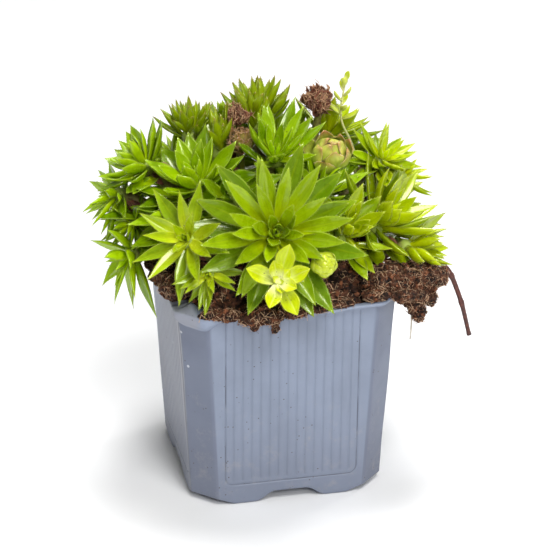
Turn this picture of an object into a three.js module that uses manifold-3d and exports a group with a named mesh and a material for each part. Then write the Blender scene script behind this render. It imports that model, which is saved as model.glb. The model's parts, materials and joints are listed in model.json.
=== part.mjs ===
// Hens and chicks: a clump of rosettes on a domed soil plug, in a square nursery pot.
// Millimetres, +Z up, the pot's front face toward -Y. The origin is the middle of the
// footprint, on the surface that the pot stands on.
import * as THREE from "three";
import { mergeVertices } from "three/addons/utils/BufferGeometryUtils.js";
import Module from "manifold-3d";

const wasm = await Module();
wasm.setup();

// ---- Driving dimensions -----------------------------------------------------------------

const POT_HEIGHT = 85.5;
const RIM_HALF = 45; // half of the 90 mm square rim
const TOP_HALF = 43; // half width of the body under the rim
const FOOT_HALF = 38.6; // half width of the body at the feet
const CORNER_CUT = 8.8; // how far each corner is cut back along a side
const WALL = 1;
const FLANGE_DROP = 1.4; // how far the rim lies over the side

const NOTCH_HEIGHT = 4.2; // raised cross between the four feet
const NOTCH_FLAT = 14;
const NOTCH_WIDE = 28;
const DRAIN_RADIUS = 3.2;
const DRAIN_REACH = 22;
const TOE_START = 43.5; // the outer corner of a foot is bevelled off past this, measured
const TOE_SLOPE = 0.6; // along the diagonal, and rises by this much

const FLUTES = 14; // fine upright grooves in each side panel
const FLUTE_PITCH = 3.6;
const FLUTE_WIDTH = 0.9;
const FLUTE_DEPTH = 0.4;
const PANEL_BOTTOM = 8.5;
const PANEL_TOP = 79;
const PANEL_HALF = 27; // half width of the outlined panel at its foot
const PANEL_ROUND = 4;
const OUTLINE = 0.8;

const GAP = 0.3; // clearance between neighbouring solids
const ROOT_DEPTH = 7; // how far a stem goes into the soil
const USUAL_REACH = 32; // the furthest from the middle that a stem usually roots
const SOIL_RISE = 32; // height of the soil's dome over the rim
const SOIL_STEPS = 24; // points round the soil's outline

const ROOT_SHARE = 0.25; // a leaf's width at its root, as a share of its widest
const LEAF_CUP = 0.16; // how far a leaf's edges stand over its middle
const GOLDEN = 137.508; // degrees from one leaf of a rosette to the next
const DEG = Math.PI / 180;

// Leaf habits. width and thick go by leaf length, inner and outer are a leaf's rise over the
// rosette's plane in degrees, bend is how far it curls up along its length, young is the
// length of the innermost leaf as a share of the outermost, widest is where it is broadest,
// spread is how far over the crown the roots stand apart, and crown is its plumpness.
const HABITS = {
  hen: { width: 0.26, thick: 0.07, inner: 62, outer: -2, bend: 14, young: 0.42, widest: 0.6, spread: 0.5, crown: 1 },
  lush: { width: 0.31, thick: 0.08, inner: 70, outer: 2, bend: 14, young: 0.5, widest: 0.56, spread: 0.5, crown: 1 },
  star: { width: 0.24, thick: 0.09, inner: 62, outer: -4, bend: 10, young: 0.6, widest: 0.42, spread: 0.5, crown: 1 },
  broad: { width: 0.54, thick: 0.11, inner: 50, outer: 6, bend: 14, young: 0.7, widest: 0.6, spread: 0.5, crown: 1 },
  tuft: { width: 0.28, thick: 0.09, inner: 88, outer: 30, bend: 8, young: 0.75, widest: 0.5, spread: 0.6, crown: 1.4 },
  dry: { width: 0.36, thick: 0.1, inner: 66, outer: 5, bend: 80, young: 0.8, widest: 0.5, spread: 0.6, crown: 1.1 },
};

// One row for each rosette: habit, middle of its crown, how far its axis leans from upright
// and toward which side (degrees from +X, turning to +Y), leaf length, leaf count, first turn,
// and how far from the middle its stem roots, where that isn't the usual place.
const ROSETTES = [
  ["chick_front", "broad", -9, -57, 104.5, 62, -97, 14, 7, 60],
  ["hen_rosette", "hen", -5, -34, 114, 58, -99, 35, 27, 70],
  ["chick_right_big", "lush", 41, -11, 104, 52, -22, 31, 16, 0, 26],
  ["chick_left_mid", "lush", -30, -3, 123, 24, -140, 27, 13, 40],
  ["chick_left_star", "star", -38, -28, 112, 54, -125, 22, 14, 10],
  ["chick_behind", "lush", 2, 0, 131, 24, -92, 27, 13, 80],
  ["chick_right_spiky", "star", 46, 4, 125, 46, -45, 18, 13, 30, 22],
  ["chick_right_low", "lush", 51, -20, 97, 80, -24, 24, 12, 15, 35],
  ["chick_right_inner", "lush", 24, -26, 108, 58, -62, 24, 13, 50],
  ["chick_mid_right", "lush", 19, -10, 119, 34, -50, 23, 10, 20],
  ["chick_top", "tuft", -1, 16, 140, 8, 90, 21, 16, 0],
  ["chick_left_top", "lush", -48, 9, 129, 46, 176, 21, 13, 70, 25],
  ["chick_left_tuft", "tuft", -28, 19, 137, 14, 120, 16, 10, 25],
  ["chick_left_far", "star", -59, 10, 117, 74, 178, 20, 11, 0, 34],
  ["chick_left_low", "star", -55, 3, 107, 82, -172, 16, 9, 45],
  ["chick_left_hang", "star", -56, -4, 97, 104, -166, 20, 11, 20, 36],
  ["chick_left_long", "star", -42, -9, 113, 62, -160, 22, 9, 90, 30],
  ["chick_star_low", "star", -32, -38, 102, 74, -112, 15, 8, 35],
  ["chick_left_inner", "lush", -18, -14, 121, 40, -122, 24, 9, 10],
  ["chick_right_small", "star", 56, 7, 116, 52, 5, 15, 9, 10, 33],
  ["chick_upright", "tuft", -18, 9, 132, 12, 150, 21, 8, 65],
  ["chick_back_big", "hen", 6, 36, 117, 56, 84, 30, 18, 33],
  ["chick_back_left", "lush", -31, 33, 114, 52, 128, 25, 11, 12],
  ["chick_back_right", "lush", 36, 31, 114, 52, 44, 25, 11, 75],
  ["chick_back_low_left", "star", -22, 50, 101, 80, 113, 19, 10, 5],
  ["chick_back_low_right", "lush", 25, 50, 100, 82, 64, 18, 9, 48],
  ["chick_back_front", "broad", 1, 56, 103, 74, 92, 13, 8, 20],
  ["chick_right_back", "lush", 50, 21, 101, 76, 20, 22, 11, 55],
  ["chick_back_far", "star", -50, 28, 102, 76, 152, 19, 10, 80],
  ["chick_top_right", "lush", 28, 19, 132, 24, 40, 22, 11, 15],
  ["chick_top_back", "lush", -10, 31, 131, 26, 104, 22, 11, 60],
  ["dead_top", "dry", 23, 13, 146, 14, -60, 12, 11, 0],
  ["dead_small", "dry", -11, 8, 146, 16, -110, 8, 8, 30],
];

// Closed ball offsets: middle of the ball, lean, side, radius, scales, first turn.
const BUDS = [
  ["bud_front", 10, -50, 107, 62, -82, 4.9, 6, 0],
  ["bud_top", 23, -3, 131, 34, -85, 8, 9, 30],
  ["bud_brown", -11, 2, 138, 30, -100, 4.8, 6, 10],
];

// Poses that a leaf tries in turn until it is clear of its neighbours: how much it is
// lifted and swung, in degrees, and the share of its length that it keeps.
const POSES = [
  [0, 0, 1],
  [7, 0, 1],
  [-7, 0, 1],
  [0, 9, 1],
  [0, -9, 1],
  [14, 0, 1],
  [-14, 0, 1],
  [10, 14, 1],
  [10, -14, 1],
  [22, 0, 1],
  [0, 20, 0.95],
  [0, -20, 0.95],
  [0, 0, 0.85],
  [14, 0, 0.85],
  [30, 0, 0.95],
  [22, 18, 0.9],
  [22, -18, 0.9],
  [40, 0, 0.9],
  [14, 0, 0.7],
  [30, 0, 0.75],
  [50, 0, 0.8],
  [0, 0, 0.6],
];

// ---- Solids -----------------------------------------------------------------------------

function solidFrom(positions, triangles) {
  const mesh = new wasm.Mesh({
    numProp: 3,
    vertProperties: new Float32Array(positions),
    triVerts: new Uint32Array(triangles),
  });
  return new wasm.Manifold(mesh);
}

function signedVolume(points, triangles) {
  let sum = 0;
  for (let i = 0; i < triangles.length; i += 3) {
    const [a, b, c] = [points[triangles[i]], points[triangles[i + 1]], points[triangles[i + 2]]];
    sum += a.dot(b.clone().cross(c));
  }
  return sum / 6;
}

// A closed solid through rings of points. A first or last ring of one point is a tip, and
// a wider one is closed by a flat cap.
function loft(rings) {
  const points = rings.flat();
  const triangles = [];
  const starts = [];
  rings.reduce((at, ring) => {
    starts.push(at);
    return at + ring.length;
  }, 0);
  for (let k = 0; k + 1 < rings.length; k++) {
    const [low, high] = [starts[k], starts[k + 1]];
    const [n, m] = [rings[k].length, rings[k + 1].length];
    const around = Math.max(n, m);
    for (let i = 0; i < around; i++) {
      const j = (i + 1) % around;
      if (n > 1) triangles.push(low + i, low + j, high + (m > 1 ? j : 0));
      if (m > 1) triangles.push(low + (n > 1 ? i : 0), high + j, high + i);
    }
  }
  const last = rings.length - 1;
  for (let i = 1; i + 1 < rings[0].length; i++) triangles.push(starts[0], i + 1, i);
  for (let i = 1; i + 1 < rings[last].length; i++) {
    triangles.push(starts[last], starts[last] + i, starts[last] + i + 1);
  }
  if (signedVolume(points, triangles) < 0) {
    for (let i = 0; i < triangles.length; i += 3) {
      [triangles[i], triangles[i + 1]] = [triangles[i + 1], triangles[i]];
    }
  }
  return solidFrom(points.flatMap((p) => [p.x, p.y, p.z]), triangles);
}

// The solid of one of three.js's closed geometries, moved by a matrix.
function solidOf(geometry, matrix = new THREE.Matrix4()) {
  const bare = geometry.clone().applyMatrix4(matrix);
  bare.deleteAttribute("normal");
  bare.deleteAttribute("uv");
  const merged = mergeVertices(bare, 1e-5);
  return solidFrom(merged.attributes.position.array, merged.index.array);
}

function meshOf(name, solid, colour, roughness) {
  const { vertProperties, triVerts } = solid.getMesh();
  const geometry = new THREE.BufferGeometry();
  geometry.setAttribute("position", new THREE.BufferAttribute(new Float32Array(vertProperties), 3));
  geometry.setIndex(new THREE.BufferAttribute(new Uint32Array(triVerts), 1));
  geometry.computeVertexNormals();
  const material = new THREE.MeshStandardMaterial({ color: colour, roughness, metalness: 0 });
  const mesh = new THREE.Mesh(geometry, material);
  mesh.name = name;
  return mesh;
}

// A repeatable draw between -1 and 1.
function wobble(a, b) {
  const wave = Math.sin(a * 12.9898 + b * 78.233) * 43758.5453;
  return 2 * (wave - Math.floor(wave)) - 1;
}

// ---- Pot --------------------------------------------------------------------------------

// A square with cut corners, at height z.
function cutSquare(half, cut, z) {
  const inner = half - cut;
  const corners = [
    [half, -inner],
    [half, inner],
    [inner, half],
    [-inner, half],
    [-half, inner],
    [-half, -inner],
    [-inner, -half],
    [inner, -half],
  ];
  return corners.map(([x, y]) => new THREE.Vector3(x, y, z));
}

function bodyHalf(z) {
  return FOOT_HALF + ((TOP_HALF - FOOT_HALF) * z) / POT_HEIGHT;
}

// The pot's outer form, grown on all sides by grow.
function potForm(grow) {
  const under = POT_HEIGHT - FLANGE_DROP;
  return loft([
    cutSquare(bodyHalf(0) + grow, CORNER_CUT, -grow),
    cutSquare(bodyHalf(under) + grow, CORNER_CUT, under - grow - 0.6),
    cutSquare(RIM_HALF - 0.3 + grow, CORNER_CUT + 0.6, under - grow),
    cutSquare(RIM_HALF + grow, CORNER_CUT + 0.6, under + 0.6),
    cutSquare(RIM_HALF - 0.5 + grow, CORNER_CUT + 0.6, POT_HEIGHT + grow),
  ]);
}

// The raised cross between the feet, as two bars with sloped sides.
function cross(grow) {
  const top = NOTCH_HEIGHT + grow;
  const profile = new THREE.Shape();
  const foot = NOTCH_WIDE / 2 + grow;
  const flat = NOTCH_FLAT / 2 + grow;
  profile.moveTo(-foot - 1, -1);
  profile.lineTo(foot + 1, -1);
  profile.lineTo(flat, top);
  profile.lineTo(-flat, top);
  profile.closePath();
  const long = 4 * RIM_HALF;
  const bar = new THREE.ExtrudeGeometry(profile, { depth: long, bevelEnabled: false });
  bar.translate(0, 0, -long / 2);
  const along = solidOf(bar, new THREE.Matrix4().makeRotationX(Math.PI / 2));
  const across = along.rotate([0, 0, 90]);
  return along.add(across);
}

// The pot's inside, kept gap away from the walls.
function potInside(gap) {
  const inset = WALL + gap;
  const top = POT_HEIGHT + 5;
  const hollow = loft([
    cutSquare(bodyHalf(inset) - inset, CORNER_CUT - 0.4 * inset, inset),
    cutSquare(bodyHalf(top) - inset, CORNER_CUT - 0.4 * inset, top),
  ]);
  return wasm.Manifold.difference([hollow, cross(inset), ...toeBevels(inset)]);
}

// Places a cutter drawn on a side panel (x across, y up, z outward) on each of the four sides.
function onSides(cutter) {
  const slope = Math.atan((TOP_HALF - FOOT_HALF) / POT_HEIGHT);
  const stand = new THREE.Matrix4().makeRotationX(Math.PI / 2 + slope);
  const out = new THREE.Matrix4().makeTranslation(0, -FOOT_HALF, 0);
  return [0, 90, 180, 270].map((turn) => {
    const spin = new THREE.Matrix4().makeRotationZ(turn * DEG);
    return solidOf(cutter, spin.multiply(out).multiply(stand));
  });
}

function fluteGeometry(x, low, high) {
  const notch = new THREE.Shape();
  notch.moveTo(-FLUTE_WIDTH / 2, 0.1);
  notch.lineTo(0, -FLUTE_DEPTH);
  notch.lineTo(FLUTE_WIDTH / 2, 0.1);
  notch.closePath();
  const flute = new THREE.ExtrudeGeometry(notch, { depth: high - low, bevelEnabled: false });
  flute.rotateX(Math.PI / 2);
  return flute.translate(x, high, 0);
}

// The sunk line round a panel: open where it meets the rim, round at its lower corners.
function outlineGeometry() {
  const edge = (inset) => {
    const half = PANEL_HALF - inset;
    const low = PANEL_BOTTOM + inset;
    const high = PANEL_TOP - inset;
    const round = PANEL_ROUND - inset;
    const path = new THREE.Shape();
    path.moveTo(-half, high);
    path.lineTo(-half, low + round);
    path.absarc(-half + round, low + round, round, Math.PI, 1.5 * Math.PI, false);
    path.lineTo(half - round, low);
    path.absarc(half - round, low + round, round, -0.5 * Math.PI, 0, false);
    path.lineTo(half, high);
    path.closePath();
    return path;
  };
  const ring = edge(0);
  ring.holes.push(new THREE.Path(edge(OUTLINE).getPoints(3).reverse()));
  const line = new THREE.ExtrudeGeometry(ring, { depth: 1, bevelEnabled: false, curveSegments: 3 });
  return line.translate(0, 0, -FLUTE_DEPTH);
}

function potSolid() {
  const cuts = [potInside(0), cross(0)];
  for (let i = 0; i < FLUTES; i++) {
    const x = (i - (FLUTES - 1) / 2) * FLUTE_PITCH;
    cuts.push(...onSides(fluteGeometry(x, PANEL_BOTTOM + 2, PANEL_TOP - 2)));
  }
  cuts.push(...onSides(outlineGeometry()));
  const drain = new THREE.CylinderGeometry(DRAIN_RADIUS, DRAIN_RADIUS, 4 * NOTCH_HEIGHT, 12);
  drain.rotateX(Math.PI / 2);
  const drains = [[0, 0], [1, 0], [0, 1], [-1, 0], [0, -1]];
  for (const [x, y] of drains) {
    cuts.push(solidOf(drain, new THREE.Matrix4().makeTranslation(x * DRAIN_REACH, y * DRAIN_REACH, 0)));
  }
  return wasm.Manifold.difference([potForm(0), ...cuts, ...toeBevels(0)]);
}

// The wedges that lift the outer corners of the feet off the surface, raised by grow.
function toeBevels(grow) {
  const far = TOE_START + 10;
  const wedge = new THREE.Shape();
  wedge.moveTo(TOE_START - 4, grow - 4 * TOE_SLOPE);
  wedge.lineTo(far, grow + 10 * TOE_SLOPE);
  wedge.lineTo(far, -5);
  wedge.lineTo(TOE_START - 4, -5);
  wedge.closePath();
  const bar = new THREE.ExtrudeGeometry(wedge, { depth: 60, bevelEnabled: false });
  bar.translate(0, 0, -30);
  bar.rotateX(Math.PI / 2);
  return [45, 135, 225, 315].map((turn) => {
    return solidOf(bar, new THREE.Matrix4().makeRotationZ(turn * DEG));
  });
}

// ---- Leaves and stems -------------------------------------------------------------------

// The upright of a rosette and two directions across it.
function rosetteFrame(lean, round) {
  const up = new THREE.Vector3(
    Math.sin(lean * DEG) * Math.cos(round * DEG),
    Math.sin(lean * DEG) * Math.sin(round * DEG),
    Math.cos(lean * DEG),
  );
  const across = new THREE.Vector3(-Math.sin(round * DEG), Math.cos(round * DEG), 0);
  return { up, across, along: across.clone().cross(up) };
}

// A leaf's half width as a share of its widest, at s from root 0 to tip 1.
function leafOutline(s, widest) {
  if (s < widest) return ROOT_SHARE + (1 - ROOT_SHARE) * Math.sin((Math.PI / 2) * (s / widest));
  return Math.cos(((Math.PI / 2) * (s - widest)) / (1 - widest)) ** 0.8;
}

// A leaf's section at s, as its middle, half width, keel depth and the way its face looks.
function leafSection(leaf, s) {
  const angle = leaf.rise + leaf.bend * s;
  const out = (Math.sin(angle) - Math.sin(leaf.rise)) / leaf.bend;
  const rise = (Math.cos(leaf.rise) - Math.cos(angle)) / leaf.bend;
  const { start, radial, up, length } = leaf;
  return {
    middle: start.clone().addScaledVector(radial, out * length).addScaledVector(up, rise * length),
    face: radial.clone().multiplyScalar(-Math.sin(angle)).addScaledVector(up, Math.cos(angle)),
    half: (leaf.width / 2) * leafOutline(s, leaf.widest),
    keel: leaf.thick * (0.6 + 1.6 * s * (1.1 - s)),
  };
}

// A three-sided ring: left edge, right edge and keel. The edges stand a little proud.
function leafRing(leaf, s) {
  const { middle, face, half, keel } = leafSection(leaf, s);
  const at = (across, above) =>
    middle.clone().addScaledVector(leaf.side, across).addScaledVector(face, above);
  return [at(-half, LEAF_CUP * half), at(half, LEAF_CUP * half), at(0, -keel)];
}

function leafSolid(leaf) {
  const rings = leaf.cuts.map((s) => leafRing(leaf, s));
  return loft([...rings, [leafSection(leaf, 1).middle]]);
}

// The leaf with its clearance all round, to try a place with.
function leafProbe(leaf) {
  const rings = [0, 0.35, 0.68, 1].map((s) => {
    const { middle, face, half, keel } = leafSection({ ...leaf, length: leaf.length + GAP }, s);
    const at = (across, above) =>
      middle.clone().addScaledVector(leaf.side, across).addScaledVector(face, above);
    const wide = half + 1.4 * GAP;
    const low = s < 1 ? -keel - GAP : -GAP;
    return [at(-wide, LEAF_CUP * half), at(0, GAP), at(wide, LEAF_CUP * half), at(0, low)];
  });
  return loft(rings);
}

// A stem from the soil to a crown, rounded off above it. A thin one has four sides.
function stemSolid(from, to, up, stemRadius, crownRadius, grow) {
  const sides = stemRadius < 2 ? 4 : 5;
  const reach = from.distanceTo(to);
  const turn = to.clone().addScaledVector(up, -0.45 * reach);
  const curve = new THREE.QuadraticBezierCurve3(from, turn, to);
  const sideways = to.clone().sub(from).cross(up);
  if (sideways.length() < 1e-3) sideways.set(1, 0, 0);
  sideways.normalize();
  const ring = (centre, direction, radius) => {
    const other = direction.clone().cross(sideways).normalize();
    return Array.from({ length: sides }, (_, k) => {
      const angle = (k * 2 * Math.PI) / sides;
      return centre
        .clone()
        .addScaledVector(sideways, Math.cos(angle) * (radius + grow))
        .addScaledVector(other, Math.sin(angle) * (radius + grow));
    });
  };
  const rings = [];
  const heel = from.clone().addScaledVector(curve.getTangent(0), -grow);
  rings.push(ring(heel, curve.getTangent(0), stemRadius));
  for (const t of [0.45, 0.8]) rings.push(ring(curve.getPoint(t), curve.getTangent(t), stemRadius));
  rings.push(ring(to.clone().addScaledVector(up, -0.2 * crownRadius), up, crownRadius));
  rings.push([to.clone().addScaledVector(up, crownRadius + grow)]);
  return loft(rings);
}

// Height of the soil over a point.
function soilHeight(x, y) {
  const reach = TOP_HALF - WALL;
  const share = Math.min(1, ((Math.abs(x) / reach) ** 4 + (Math.abs(y) / reach) ** 4) ** 0.25);
  return POT_HEIGHT + SOIL_RISE * (1 - share ** 2);
}

// The buried end of the stem of a crown at (x, y), rooted reach from the pot's middle.
function stemFoot(x, y, reach = Math.min(0.8 * Math.hypot(x, y), USUAL_REACH)) {
  const share = reach / Math.hypot(x, y);
  return new THREE.Vector3(x * share, y * share, soilHeight(x * share, y * share) - ROOT_DEPTH);
}

// ---- Clump ------------------------------------------------------------------------------

const placed = []; // every solid so far, with its owner and box, for later leaves to clear

function keep(owner, solid) {
  placed.push({ owner, solid, box: solid.boundingBox() });
  return solid;
}

function boxesMeet(a, b) {
  return [0, 1, 2].every((k) => a.min[k] <= b.max[k] && b.min[k] <= a.max[k]);
}

function isClear(owner, probe) {
  const box = probe.boundingBox();
  return placed.every((other) => {
    if (other.owner === owner || !boxesMeet(box, other.box)) return true;
    const shared = probe.intersect(other.solid);
    const clear = shared.isEmpty();
    shared.delete();
    return clear;
  });
}

function around(frame, degrees) {
  const angle = degrees * DEG;
  return frame.along
    .clone()
    .multiplyScalar(Math.cos(angle))
    .addScaledVector(frame.across, Math.sin(angle));
}

// Leaf number i of a rosette, in pose [lift, swing, share] from its natural place.
function rosetteLeaf(rosette, i, [lift, swing, share]) {
  const { habit, frame, centre, size, count, spin, seed } = rosette;
  const t = (i + 0.5) / count;
  const radial = around(frame, spin + i * GOLDEN + 5 * wobble(seed, 5 * i) + swing);
  const rise = habit.inner + (habit.outer - habit.inner) * t ** 0.6 + 4 * wobble(seed, 5 * i + 1) + lift;
  const grown = habit.young + (1 - habit.young) * t ** 0.5;
  const crown = crownRadius(size) * habit.crown;
  return {
    start: centre
      .clone()
      .addScaledVector(radial, crown * habit.spread * t ** 0.5)
      .addScaledVector(frame.up, crown * (0.4 - 0.8 * t)),
    radial,
    up: frame.up,
    side: frame.up.clone().cross(radial),
    rise: rise * DEG,
    bend: (habit.bend + 6 * wobble(seed, 5 * i + 3)) * DEG,
    length: size * grown * (1 + 0.07 * wobble(seed, 5 * i + 2)) * share,
    width: habit.width * size * (0.7 + 0.3 * t),
    thick: Math.max(1.1, habit.thick * size),
    widest: habit.widest,
    cuts: size < 20 ? [0, 0.52] : [0, 0.35, 0.68],
  };
}

// Scale number i of a closed ball, following the ball's curve upward.
function budScale(bud, i) {
  const { frame, centre, size, count, spin, seed } = bud;
  const t = (i + 0.5) / count;
  const radial = around(frame, spin + i * GOLDEN + 5 * wobble(seed, 5 * i));
  const polar = (45 + 75 * t) * DEG;
  const length = size * (0.95 + 0.45 * t);
  return {
    start: centre
      .clone()
      .addScaledVector(radial, 0.86 * size * Math.sin(polar))
      .addScaledVector(frame.up, 0.86 * size * Math.cos(polar)),
    radial,
    up: frame.up,
    side: frame.up.clone().cross(radial),
    rise: Math.PI - polar - 0.12,
    bend: (0.9 * length) / size,
    length,
    width: 1.05 * size,
    thick: Math.max(0.8, 0.12 * size),
    widest: 0.5,
    cuts: [0, 0.5],
  };
}

function crownRadius(size) {
  return 1.2 + 0.14 * size;
}

function stemRadius(size) {
  return 0.9 + 0.055 * size;
}

const rosettes = ROSETTES.map(([name, habit, x, y, z, lean, round, size, count, spin, reach], k) => ({
  name,
  habit: HABITS[habit],
  dry: habit === "dry",
  frame: rosetteFrame(lean, round),
  centre: new THREE.Vector3(x, y, z),
  foot: stemFoot(x, y, reach),
  size,
  count,
  spin,
  seed: k + 1,
}));

const buds = BUDS.map(([name, x, y, z, lean, round, size, count, spin], k) => ({
  name,
  frame: rosetteFrame(lean, round),
  centre: new THREE.Vector3(x, y, z),
  foot: stemFoot(x, y),
  size,
  count,
  spin,
  seed: 61 + k,
}));

function rosetteStem(rosette, grow) {
  const { foot, centre, frame, size, habit } = rosette;
  return stemSolid(foot, centre, frame.up, stemRadius(size), crownRadius(size) * habit.crown, grow);
}

function budStem(bud, grow) {
  const { foot, centre, frame, size } = bud;
  const base = centre.clone().addScaledVector(frame.up, -0.7 * size);
  return stemSolid(foot, base, frame.up, 1.1, 0.45 * size, grow);
}

function budSolid(bud) {
  const ball = new THREE.SphereGeometry(bud.size * 0.84, 8, 5);
  const place = new THREE.Matrix4().makeBasis(bud.frame.along, bud.frame.up, bud.frame.across.clone().negate());
  place.setPosition(bud.centre);
  const scales = [];
  for (let i = 0; i < bud.count; i++) scales.push(leafSolid(budScale(bud, i)));
  return wasm.Manifold.union([budStem(bud, 0), solidOf(ball, place), ...scales]);
}

// A tube of a few sides through hand-set points.
function tubeSolid(points, radius, sides, steps) {
  const curve = new THREE.CatmullRomCurve3(points.map((p) => new THREE.Vector3(...p)));
  const corners = Array.from({ length: sides }, (_, k) => {
    const angle = (k * 2 * Math.PI) / sides;
    return new THREE.Vector2(radius * Math.cos(angle), radius * Math.sin(angle));
  });
  const section = new THREE.Shape(corners);
  return solidOf(new THREE.ExtrudeGeometry(section, { steps, bevelEnabled: false, extrudePath: curve }));
}

// ---- Soil -------------------------------------------------------------------------------

// How far the soil reaches past the pot's inner wall, by the side it lies on: each heap has
// a direction in degrees, a half width in degrees and a reach.
const HEAPS = [
  [-108, 20, 2],
  [-75, 16, 1.6],
  [-96, 7, 1.8],
  [-38, 12, 4],
  [180, 22, 2.4],
  [60, 26, 2],
  [120, 18, 1.8],
];
const BARE_REACH = -1.2;

// Lumps that lie on the rim and hang over it: middle and half sizes.
const LUMPS = [
  [41, -33, 88.5, 15, 10, 7.5],
  [54, -30, 86.5, 8, 9.5, 7],
  [50, -38, 81, 4.2, 4.6, 6],
  [-27, -44.4, 86.4, 6, 3.4, 3],
  [-13, -45.2, 85.4, 8, 3.6, 5],
  [2, -44.6, 86, 6.5, 3.2, 3],
];

const LUMP_ROUGHNESS = 0.16;

function soilReach(angle) {
  return HEAPS.reduce((reach, [side, spread, far]) => {
    const away = ((angle - side + 540) % 360) - 180;
    return reach + (far - BARE_REACH) * Math.exp(-((away / spread) ** 2));
  }, BARE_REACH);
}

function wallDistance(angle, half) {
  const [c, s] = [Math.abs(Math.cos(angle * DEG)), Math.abs(Math.sin(angle * DEG))];
  return Math.min(half / Math.max(c, s), (2 * half - CORNER_CUT) / (c + s));
}

function soilDome() {
  const low = POT_HEIGHT - 4;
  const rows = [
    [1, low],
    [1, POT_HEIGHT + 1.5],
    [0.9, null],
    [0.68, null],
    [0.4, null],
  ];
  const rings = rows.map(([share, height], row) => {
    const ring = [];
    for (let k = 0; k < SOIL_STEPS; k++) {
      const angle = (k * 360) / SOIL_STEPS;
      const far = wallDistance(angle, TOP_HALF - WALL) + soilReach(angle);
      const radius = far * share * (1 + 0.012 * wobble(k, row));
      const [x, y] = [radius * Math.cos(angle * DEG), radius * Math.sin(angle * DEG)];
      const lift = 1.2 * wobble(k + 40, row);
      const z = height ?? POT_HEIGHT + 1 + SOIL_RISE * (1 - share ** 2) + lift;
      ring.push(new THREE.Vector3(x, y, z));
    }
    return ring;
  });
  return loft([...rings, [new THREE.Vector3(0, 0, POT_HEIGHT + SOIL_RISE + 1)]]);
}

function soilLump([x, y, z, a, b, c], seed) {
  const lump = new THREE.IcosahedronGeometry(1, 1);
  lump.deleteAttribute("normal");
  lump.deleteAttribute("uv");
  const merged = mergeVertices(lump, 1e-5);
  const spots = merged.attributes.position;
  for (let i = 0; i < spots.count; i++) {
    const swell = 1 + LUMP_ROUGHNESS * wobble(seed, i);
    spots.setXYZ(i, x + a * swell * spots.getX(i), y + b * swell * spots.getY(i), z + c * swell * spots.getZ(i));
  }
  return solidFrom(spots.array, merged.index.array);
}

function soilSolid(holes) {
  const brim = [
    cutSquare(RIM_HALF + GAP, CORNER_CUT + 0.6, POT_HEIGHT - 20),
    cutSquare(RIM_HALF + GAP, CORNER_CUT + 0.6, POT_HEIGHT + GAP),
  ];
  const wall = loft(brim).subtract(potInside(GAP));
  const above = wasm.Manifold.union([soilDome(), ...LUMPS.map(soilLump)]).subtract(wall);
  const tall = new THREE.BoxGeometry(4 * RIM_HALF, 4 * RIM_HALF, POT_HEIGHT - 4);
  const inPot = solidOf(tall, new THREE.Matrix4().makeTranslation(0, 0, (POT_HEIGHT - 4) / 2));
  const plug = potInside(GAP).intersect(inPot);
  return wasm.Manifold.difference([plug.add(above), ...holes]);
}

// ---- Sprig, runner and root -------------------------------------------------------------

const SPRIG = [[37, 13, 98], [37, 12, 126], [30.5, 8, 143], [32, 8, 159]];
const STOLON = [[46, -24, 90], [57, -22, 91.5], [67, -19, 87], [74, -18, 73], [79, -18, 55]];
const ROOTLET = [[48, -37, 82], [48.5, -38, 74], [48, -38.5, 66]];
const SPRIG_RADIUS = 0.7;
const STOLON_RADIUS = 0.75;
const ROOTLET_RADIUS = 0.4;

function sprigSolid() {
  const stem = tubeSolid(SPRIG, SPRIG_RADIUS, 4, 7);
  const curve = new THREE.CatmullRomCurve3(SPRIG.map((p) => new THREE.Vector3(...p)));
  const up = new THREE.Vector3(0.1, 0, 1).normalize();
  const across = new THREE.Vector3(0, 1, 0);
  const along = across.clone().cross(up);
  const leaves = [];
  for (let i = 0; i < 9; i++) {
    const turn = i * GOLDEN * DEG;
    const radial = along.clone().multiplyScalar(Math.cos(turn)).addScaledVector(across, Math.sin(turn));
    leaves.push(
      leafSolid({
        start: curve.getPoint(0.66 + 0.04 * i),
        radial,
        up,
        side: up.clone().cross(radial),
        rise: (25 + 6 * i) * DEG,
        bend: 20 * DEG,
        length: 6.4 - 0.25 * i,
        width: 3,
        thick: 0.9,
        widest: 0.6,
        cuts: [0, 0.5],
      }),
    );
  }
  return wasm.Manifold.union([stem, ...leaves]);
}

// ---- Assembly ---------------------------------------------------------------------------

const group = new THREE.Group();
const holes = [
  ...rosettes.map((r) => rosetteStem(r, GAP)),
  ...buds.map((b) => budStem(b, GAP)),
  tubeSolid(SPRIG, SPRIG_RADIUS + GAP, 4, 7),
  tubeSolid(STOLON, STOLON_RADIUS + GAP, 5, 12),
  tubeSolid(ROOTLET, ROOTLET_RADIUS + GAP, 4, 3),
];

const pot = keep("pot", potSolid());
const soil = keep("soil", soilSolid(holes));
group.add(meshOf("pot", pot, 0x8e99ad, 0.55));
group.add(meshOf("soil", soil, 0x3a2318, 1));

const sprig = keep("sprig", sprigSolid());
group.add(meshOf("sprig", sprig, 0xb7c94a, 0.6));
const stolon = keep("stolon", tubeSolid(STOLON, STOLON_RADIUS, 5, 12));
group.add(meshOf("stolon", stolon, 0x5a2a20, 0.7));
const rootlet = keep("fine_root", tubeSolid(ROOTLET, ROOTLET_RADIUS, 4, 3));
group.add(meshOf("fine_root", rootlet, 0xd8cdb8, 0.8));

for (const bud of buds) {
  const solid = keep(bud.name, budSolid(bud));
  group.add(meshOf(bud.name, solid, bud.name === "bud_brown" ? 0x7a6a3a : 0xa9bf63, 0.5));
}

for (const rosette of rosettes) rosette.stem = keep(rosette.name, rosetteStem(rosette, 0));

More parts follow.
